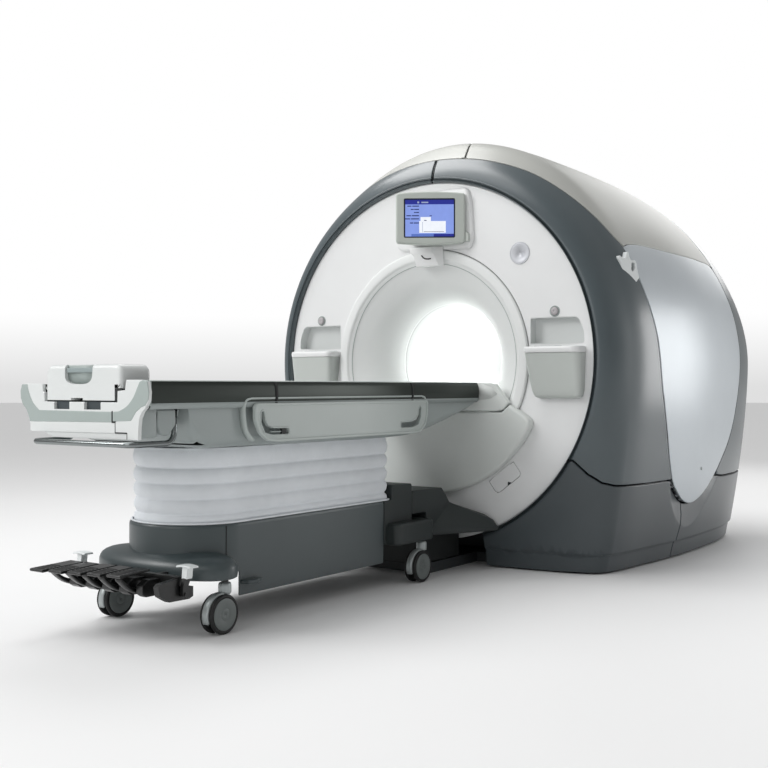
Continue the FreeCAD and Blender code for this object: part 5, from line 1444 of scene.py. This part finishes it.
# side rails, each in a ridge-edged pocket of the hull
RAIL = [(-1.800, .864), (-.586, .864), (-.586, .800), (-.604, .748), (-.650, .716), (-.720, .7125), (-1.660, .7125), (-1.725, .718), (-1.775, .752), (-1.798, .800)]
RAIL_F = fillet(RAIL, [.022, .012, .04, .04, .04, .03, .03, .05, .05, .03], 8)
J_FOOT = [(-1.762, .830), (-1.750, .836), (-1.744, .820), (-1.741, .800), (-1.722, .776), (-1.690, .766), (-1.600, .7645), (-1.597, .742), (-1.700, .742), (-1.742, .752),
          (-1.762, .788)]
J_HEAD = [(-.640, .832), (-.652, .836), (-.662, .820), (-.664, .798), (-.684, .774), (-.716, .766), (-.806, .7645), (-.808, .742), (-.712, .742), (-.664, .754),
          (-.643, .790)]
for side, sx in (("right", 1), ("left", -1)):
    name = "side_rail_" + side
    pane = prism(name + "_panel", "x", RAIL_F[::sx], *sorted((sx * .3465, sx * .3600)), .003, 3, angle=40)
    rim_ob = loops_object(name + "_rim", [[(sx * x, a, b) for a, b in (inset(RAIL_F, d) if d else RAIL_F)] for x, d in
                                          ((.3594, 0), (.3618, 0), (.3634, .0009), (.3640, .0026), (.3640, .0084), (.3634, .0100), (.3618, .0108), (.3594, .0110))],
                          ring=True, sharp=40)
    for jn, J in (("foot", J_FOOT), ("head", J_HEAD)):
        jf = fillet(J, .006)
        boolean(pane, prism("c", "x", jf[::sx], *sorted((sx * .330, sx * .40)), 0, weighted=False))
        grown, inner = inset(jf, -.0075), inset(jf, -.0004)
        jr = loops_object("%s_slot_rim_%s" % (name, jn), [[(sx * x, a, b) for a, b in loop] for x, loop in
                                                          ((.3592, grown), (.3610, inset(jf, -.0070)), (.3625, inset(jf, -.0052)), (.3625, inset(jf, -.0026)), (.3610, inner), (.3592, inner))],
                          ring=True, sharp=40)
        finish_object(jr, name, "rail", name)
    reshade(pane, 35)
    finish_object(pane, name, "rail", name)
    finish_object(rim_ob, name, "rail", name)
    latch = block(name + "_latch", sorted((sx * .3480, sx * .3590)), (-1.640, -1.612), (.7425, .7650), .002, 2)
    finish_object(latch, name, "dark", name)
    bar = block(name + "_latch_bar", sorted((sx * .3500, sx * .3560)), (-1.700, -1.640), (.7500, .7545), .001, 2)
    finish_object(bar, name, "band", name)
    # raised frame round the rail's pocket: up the foot side, along the top and down the head side
    mid = spline_pts([(-1.784, .722), (-1.821, .758), (-1.836, .823), (-1.836, .853), (-1.826, .876), (-1.799, .8835)], 4)[:-1] + \
        [(-1.799, .8835), (-1.50, .8840), (-1.00, .8840)] + spline_pts([(-.610, .8840), (-.582, .876), (-.570, .855), (-.571, .820), (-.585, .780)], 4)
    mid_a = np.array(mid)
    loops = []
    for k in range(len(mid_a)):
        t = mid_a[min(k + 1, len(mid_a) - 1)] - mid_a[max(k - 1, 0)]
        nn = np.array([-t[1], t[0]]) / np.linalg.norm(t)
        o, i_ = mid_a[k] + nn * .0050, mid_a[k] - nn * .0050
        loops.append([(sx * a, float(q[0]), float(q[1])) for a, q in ((.3170, i_), (.3425, i_), (.3440, i_ * .7 + o * .3), (.3440, i_ * .3 + o * .7), (.3425, o), (.3170, o))])
    ridge = loops_object("hull_ridge_" + side, loops, sharp=40)
    finish_object(ridge, "table_top", "rail", slot="hull_grey")
    for k, yy in enumerate((-1.505, -.905)):
        gb = block("rail_guide_%s_%d" % (side, k), sorted((sx * .3180, sx * .3445)), (yy, yy + .050), (.762, .858), .002, 2)
        finish_object(gb, "table_top", "iron", "table_frame")
        gs = block("rail_slider_%s_%d" % (side, k), sorted((sx * .3446, sx * .3480)), (yy + .005, yy + .045), (.717, .862), .001, 2)
        finish_object(gs, name, "iron", name)

# foot-end cap: a thin white plate with a channel for the cradle block, framed by a grey band
CAPO = [(-.3300, .9380), (-.3410, .9130), (-.3390, .8850), (-.329, .862), (-.308, .842), (-.294, .810), (-.285, .790), (-.285, .762), (.296, .762), (.296, .790), (.302, .812),
        (.312, .836), (.334, .856), (.350, .880), (.352, .910), (.345, .945), (.322, .952), (.236, .952), (.230, .9160), (.1925, .9130), (.1905, .8730),
        (-.2010, .8730), (-.2040, .9070), (-.2110, .9090), (-.2130, .9390), (-.300, .9400)]
cap = prism("end_cap_liner", "y", CAPO, -2.3320, -2.3175, .003, 3, angle=30)
for x0, x1 in ((-.147, -.062), (.018, .106)):
    boolean(cap, block("c", (x0, x1), (-2.40, -2.20), (.846, .880), 0, weighted=False))
reshade(cap, 35)
finish_object(cap, "table_top", "white", "end_cap")


def cap_piece(name, pts, y0, y1, mat, bevel=.0045, r=.004, **k):
    ob = prism(name, "y", fillet(pts, r) if r else pts, y0, y1, bevel, 4, **k)
    finish_object(ob, "table_top", mat, "end_cap")
    return ob


BAND_IN_L = spline_pts([(-.3010, .9380), (-.290, .905), (-.266, .868), (-.232, .842)], 5)
BAND_IN_R = spline_pts([(.200, .8420), (.240, .860), (.272, .890), (.293, .925), (.304, .9440)], 5)
cap_piece("end_cap_band_left", [(-.3330, .9370), (-.3420, .912), (-.3400, .885), (-.328, .861), (-.306, .841), (-.292, .812), (-.2865, .798), (.1652, .8020), (.1652, .8400)] +
          BAND_IN_L[::-1], -2.3335, -2.3185, "band", bevel=.003, r=0, angle=40)
cap_piece("end_cap_band_right", [(.1688, .8400), (.1688, .8055), (.262, .8085), (.2700, .8170), (.2880, .8400), (.3120, .8560), (.3340, .8630), (.3490, .8830), (.3515, .9100), (.3440, .9460),
                                 (.3220, .9520)] + BAND_IN_R[::-1], -2.3335, -2.3185, "band", bevel=.003, r=0, angle=40)
cap_piece("end_cap_cheek", [(.1860, .8030), (.1865, .7680), (.2462, .7680), (.2462, .7430), (.3000, .7430), (.3020, .790), (.3060, .816), (.3180, .8400), (.3380, .8560), (.3340, .8600), (.3120, .8540),
                            (.2890, .8380), (.2710, .8150), (.2630, .8060)], -2.3350, -2.3185, "white", bevel=.0025, r=.001, angle=40)
cap_piece("end_cap_lower_step", [(-.2680, .7965), (-.2680, .7620), (.1825, .7650), (.1820, .7995)], -2.3345, -2.3185, "white", bevel=.0025, r=.001, angle=40)
cap_piece("end_cap_lowest_step", [(-.2100, .7650), (-.1600, .7430), (.2425, .7430), (.2425, .7640), (.182, .7650)], -2.3315, -2.3185, "white", bevel=.0025, r=.001, angle=40)
cap_piece("end_cap_gap", [(-.150, .8520), (-.150, .8400), (.300, .8400), (.300, .7500), (-.150, .7500)], -2.3270, -2.3190, "dark", r=0, bevel=0)
# dark joint stepping down across the face
for k, (x, z) in enumerate((((.1646, .1692), (.8060, .8420)), ((.1650, .1862), (.8005, .8058)), ((.1818, .1864), (.7650, .8050)), ((.1830, .2464), (.7636, .7682)),
                            ((.2420, .2464), (.7440, .7670)))):
    jt = block("end_cap_joint_%d" % (k + 1), x, (-2.3341, -2.3190), z, 0.0002, 1)
    finish_object(jt, "table_top", "dark", "end_cap")
for k, (x0, x1) in enumerate(((-.1475, -.0615), (.0175, .1065))):
    pk = block("end_cap_pocket_%d" % k, (x0, x1), (-2.3190, -2.3160), (.8455, .8750), .0005, 1)
    finish_object(pk, "table_top", "pocket", "end_cap")
# body of the cap behind its face, and the rounded skirt under the top's end
for k, (x0, x1) in enumerate(((-.3310, -.2480), (.2480, .3420))):
    cheek = block("end_cap_cheek_back_%d" % (k + 1), (x0, x1), (-2.3185, -2.3110), (.860, .9360 if k == 0 else .9480), .002, 2)
    finish_object(cheek, "table_top", "band", "end_cap")
sk_pts = fillet([(-.262, .849), (-.262, .800), (-.195, .752), (.302, .748), (.302, .849)], [.002, .03, .03, .008, .002], 8)
skirt = pillow("end_cap_skirt", "y", sk_pts[::-1], -2.3186, -2.2440, .001, .012, 5)
finish_object(skirt, "table_top", "hull", "end_cap")
under = prism("table_end_hull", "x", fillet([(-2.2440, .849), (-2.2440, .790), (-2.2250, .756), (-2.1850, .752), (-2.1500, .790), (-2.1300, .849)], [0, .02, .02, .02, .02, 0], 8),
              -.296, .296, .008, 4, angle=50)
finish_object(under, "table_top", "hull", slot="hull_grey")

# stainless handle


def bent3(points, r, n=9):
    P = [np.array(p, float) for p in points]
    out = [tuple(P[0])]
    for a, b_, c in zip(P, P[1:], P[2:]):
        u, v = unit(a - b_), unit(c - b_)
        half = math.acos(float(np.clip(u @ v, -1, 1))) / 2
        t = r / math.tan(half)
        centre = b_ + unit(u + v) * (r / math.sin(half))
        p, q = b_ + u * t, b_ + v * t
        e1 = unit(p - centre)
        e2 = unit((q - centre) - e1 * ((q - centre) @ e1))
        sweep_a = math.pi - 2 * half
        for k in range(n + 1):
            ang = sweep_a * k / n
            out.append(tuple(centre + r * (e1 * math.cos(ang) + e2 * math.sin(ang))))
    out.append(tuple(P[-1]))
    return out


handle = sweep("tube_handle_bar", bent3([(.286, -2.150, .8495), (.286, -2.150, .726), (.286, -2.352, .726), (-.244, -2.352, .726), (-.262, -2.150, .726), (-.262, -2.150, .8495)], .040), .011, 20)
finish_object(handle, "table_top", "steel", "tube_handle")

# cradle
crad = [(-.215, .8905), (.215, .8905), (.215, .938)] + [(.205 * math.cos(rad(a)), .9395 - .0225 * math.sin(rad(a))) for a in np.linspace(0, 180, 25)] + [(-.215, .938)]
board = prism("cradle_board_shell", "y", crad, -2.1800, -.1000, .002, 2, angle=40)
finish_object(board, "cradle", "cradle", "cradle_board")
blk_pts = fillet([(-.2040, .9110), (.2050, .9200), (.2050, 1.0080), (-.2040, 1.0080)], [.003, .003, .030, .034], 9)
blk = pillow("cradle_block_shell", "y", blk_pts, -2.3260, -2.1800, .016, .022, 7, sharp=34)
low_blk = prism("cradle_block_foot", "y", [(-.1930, .8785), (.1720, .8785), (.1720, .9380), (-.1930, .9280)], -2.3263, -2.2430, .0004, 1)
# dark plate beside the block's foot and under its step: painted shade where the white side wall would otherwise show
painted_shade_plate = prism("cradle_block_painted_shade", "y", [(.1715, .8785), (.1895, .8785), (.1895, .9120), (.2080, .9150), (.2080, .9200), (.1715, .9200)], -2.3235, -2.3000, .0004, 1)
finish_object(painted_shade_plate, "cradle", "dark", "cradle_block")
grip_pts = [(-.094, 1.060)] + spline_pts([(-.094, .990), (-.092, .957), (-.072, .942), (-.020, .937), (.030, .941), (.050, .955), (.056, .990)], 4) + [(.057, 1.060)]
boolean(blk, prism("c", "y", grip_pts, -2.40, -2.3100, 0, weighted=False))
boolean(low_blk, block("c", (-.0610, .0040), (-2.40, -2.280), (.870, .8870), 0, weighted=False))
reshade(blk, 34)
reshade(low_blk, 34)
finish_object(blk, "cradle", "white", "cradle_block")
finish_object(low_blk, "cradle", "white", "cradle_block")
low_inside = [q for q in grip_pts if q[1] < 1.0]
gp = prism("cradle_grip", "y", [(low_inside[0][0] + .0004, 1.0045)] + inset(low_inside, .0004)[1:-1] + [(low_inside[-1][0] - .0004, 1.0045)], -2.3112, -2.3080, 0, weighted=False)
finish_object(gp, "cradle", "band", "cradle_block")
gb = block("cradle_grip_step", (-.0905, .0540), (-2.3215, -2.3105), (.979, .9965), .003, 3)
finish_object(gb, "cradle", "band2", "cradle_block")

# ------------------------------------------------------------------ finishes of the pieces kept from the CAD model
for node_name, mat_name in (("base_frame", "iron"), ("magnet_vessel", "vessel"), ("gradient_coil", "resin"), ("cart_frame", "black")):
    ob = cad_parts[node_name] if node_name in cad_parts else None
    ob = ob if hasattr(ob, "material_slots") else bpy.data.objects.get(getattr(ob, "name", node_name))
    for s in ob.material_slots:
        s.material = M[mat_name]

# ------------------------------------------------------------------ camera and light
cam_data = bpy.data.cameras.new("camera")
cam_data.sensor_width = 36.0
cam_data.lens = 52.373
cam_data.clip_start, cam_data.clip_end = 0.05, 200.0
cam = bpy.data.objects.new("camera", cam_data)
cam.location = (3.1974, -5.0021, 0.9297)
cam.rotation_euler = (math.radians(90.11), 0.0, math.radians(34.95))
COL.objects.link(cam)
SCN.camera = cam
SCN.view_settings.view_transform = "Standard"


def area_light(name, at, to, size, power, color=(1, 1, 1), size_y=None):
    d = bpy.data.lights.new(name, "AREA")
    d.energy = power
    d.color = color
    d.shape = "RECTANGLE" if size_y else "SQUARE"
    d.size = size
    if size_y:
        d.size_y = size_y
    o = bpy.data.objects.new(name, d)
    o.location = at
    o.rotation_euler = (Vector(to) - Vector(at)).to_track_quat("-Z", "Y").to_euler()
    o.visible_camera = False
    COL.objects.link(o)
    return o


sun_data = bpy.data.lights.new("overhead", "SUN")
sun_data.energy = 1.15
sun_data.angle = math.radians(50)
sun = bpy.data.objects.new("overhead", sun_data)
sun.location = (0, 0, 8)
sun.rotation_euler = Vector((0.34, 0.30, -0.9)).to_track_quat("-Z", "Y").to_euler()
COL.objects.link(sun)
area_light("key", (-4.3, -6.2, 4.8), (-0.4, -0.6, 1.1), 2.8, 205)
area_light("front", (0.6, -6.6, 2.6), (0.0, -0.6, 0.9), 3.0, 42)
area_light("side", (4.0, 4.4, 1.5), (1.15, 1.1, 0.9), 1.4, 50, size_y=2.2)
area_light("crown", (-1.5, 0.4, 4.8), (-0.4, 0.8, 2.0), 2.4, 75)
area_light("back", (0.0, 7.0, 4.0), (0.0, 2.0, 1.2), 3.0, 60)

glow_data = bpy.data.lights.new("bore_lamp", "POINT")
glow_data.energy = 7
glow_data.shadow_soft_size = 0.12
glow_ob = bpy.data.objects.new("bore_lamp", glow_data)
glow_ob.location = (0.0, 0.75, 1.20)
glow_ob.visible_camera = False
COL.objects.link(glow_ob)

floor_bm = bmesh.new()
bmesh.ops.create_circle(floor_bm, cap_ends=True, segments=96, radius=60.0)
floor = from_bm("floor", floor_bm, weighted=False)
floor_mat = material("floor_pale", (0.86, 0.86, 0.86), rough=0.6, tint=0.004, patch=2.0, rough_var=0.02)
floor.data.materials.append(floor_mat)

world = bpy.data.worlds.new("studio")
SCN.world = world
world.use_nodes = True
wn = world.node_tree
wn.nodes.clear()
w_out = wn.nodes.new("ShaderNodeOutputWorld")
w_bg = wn.nodes.new("ShaderNodeBackground")
w_tc = wn.nodes.new("ShaderNodeTexCoord")
w_xyz = wn.nodes.new("ShaderNodeSeparateXYZ")
w_ramp = wn.nodes.new("ShaderNodeValToRGB")
w_map = wn.nodes.new("ShaderNodeMapRange")
w_map.inputs["From Min"].default_value = -1.0
w_map.inputs["From Max"].default_value = 1.0
wn.links.new(w_tc.outputs["Generated"], w_xyz.inputs["Vector"])
wn.links.new(w_xyz.outputs["Z"], w_map.inputs["Value"])
wn.links.new(w_map.outputs["Result"], w_ramp.inputs["Fac"])
for e, (pos, v) in zip([w_ramp.color_ramp.elements[0], w_ramp.color_ramp.elements[1]], ((0.4995, 0.74), (0.53, 1.0))):
    e.position = pos
    e.color = (v, v, v, 1)
# the sweep behind the object pales upwards; the room light itself is even and low
wn.links.new(w_ramp.outputs["Color"], w_bg.inputs["Color"])
w_room = wn.nodes.new("ShaderNodeBackground")
w_room.inputs["Color"].default_value = (1, 1, 1, 1)
w_room.inputs["Strength"].default_value = 0.36
w_path = wn.nodes.new("ShaderNodeLightPath")
w_mix = wn.nodes.new("ShaderNodeMixShader")
wn.links.new(w_path.outputs["Is Camera Ray"], w_mix.inputs["Fac"])
wn.links.new(w_room.outputs["Background"], w_mix.inputs[1])
wn.links.new(w_bg.outputs["Background"], w_mix.inputs[2])
wn.links.new(w_mix.outputs["Shader"], w_out.inputs["Surface"])
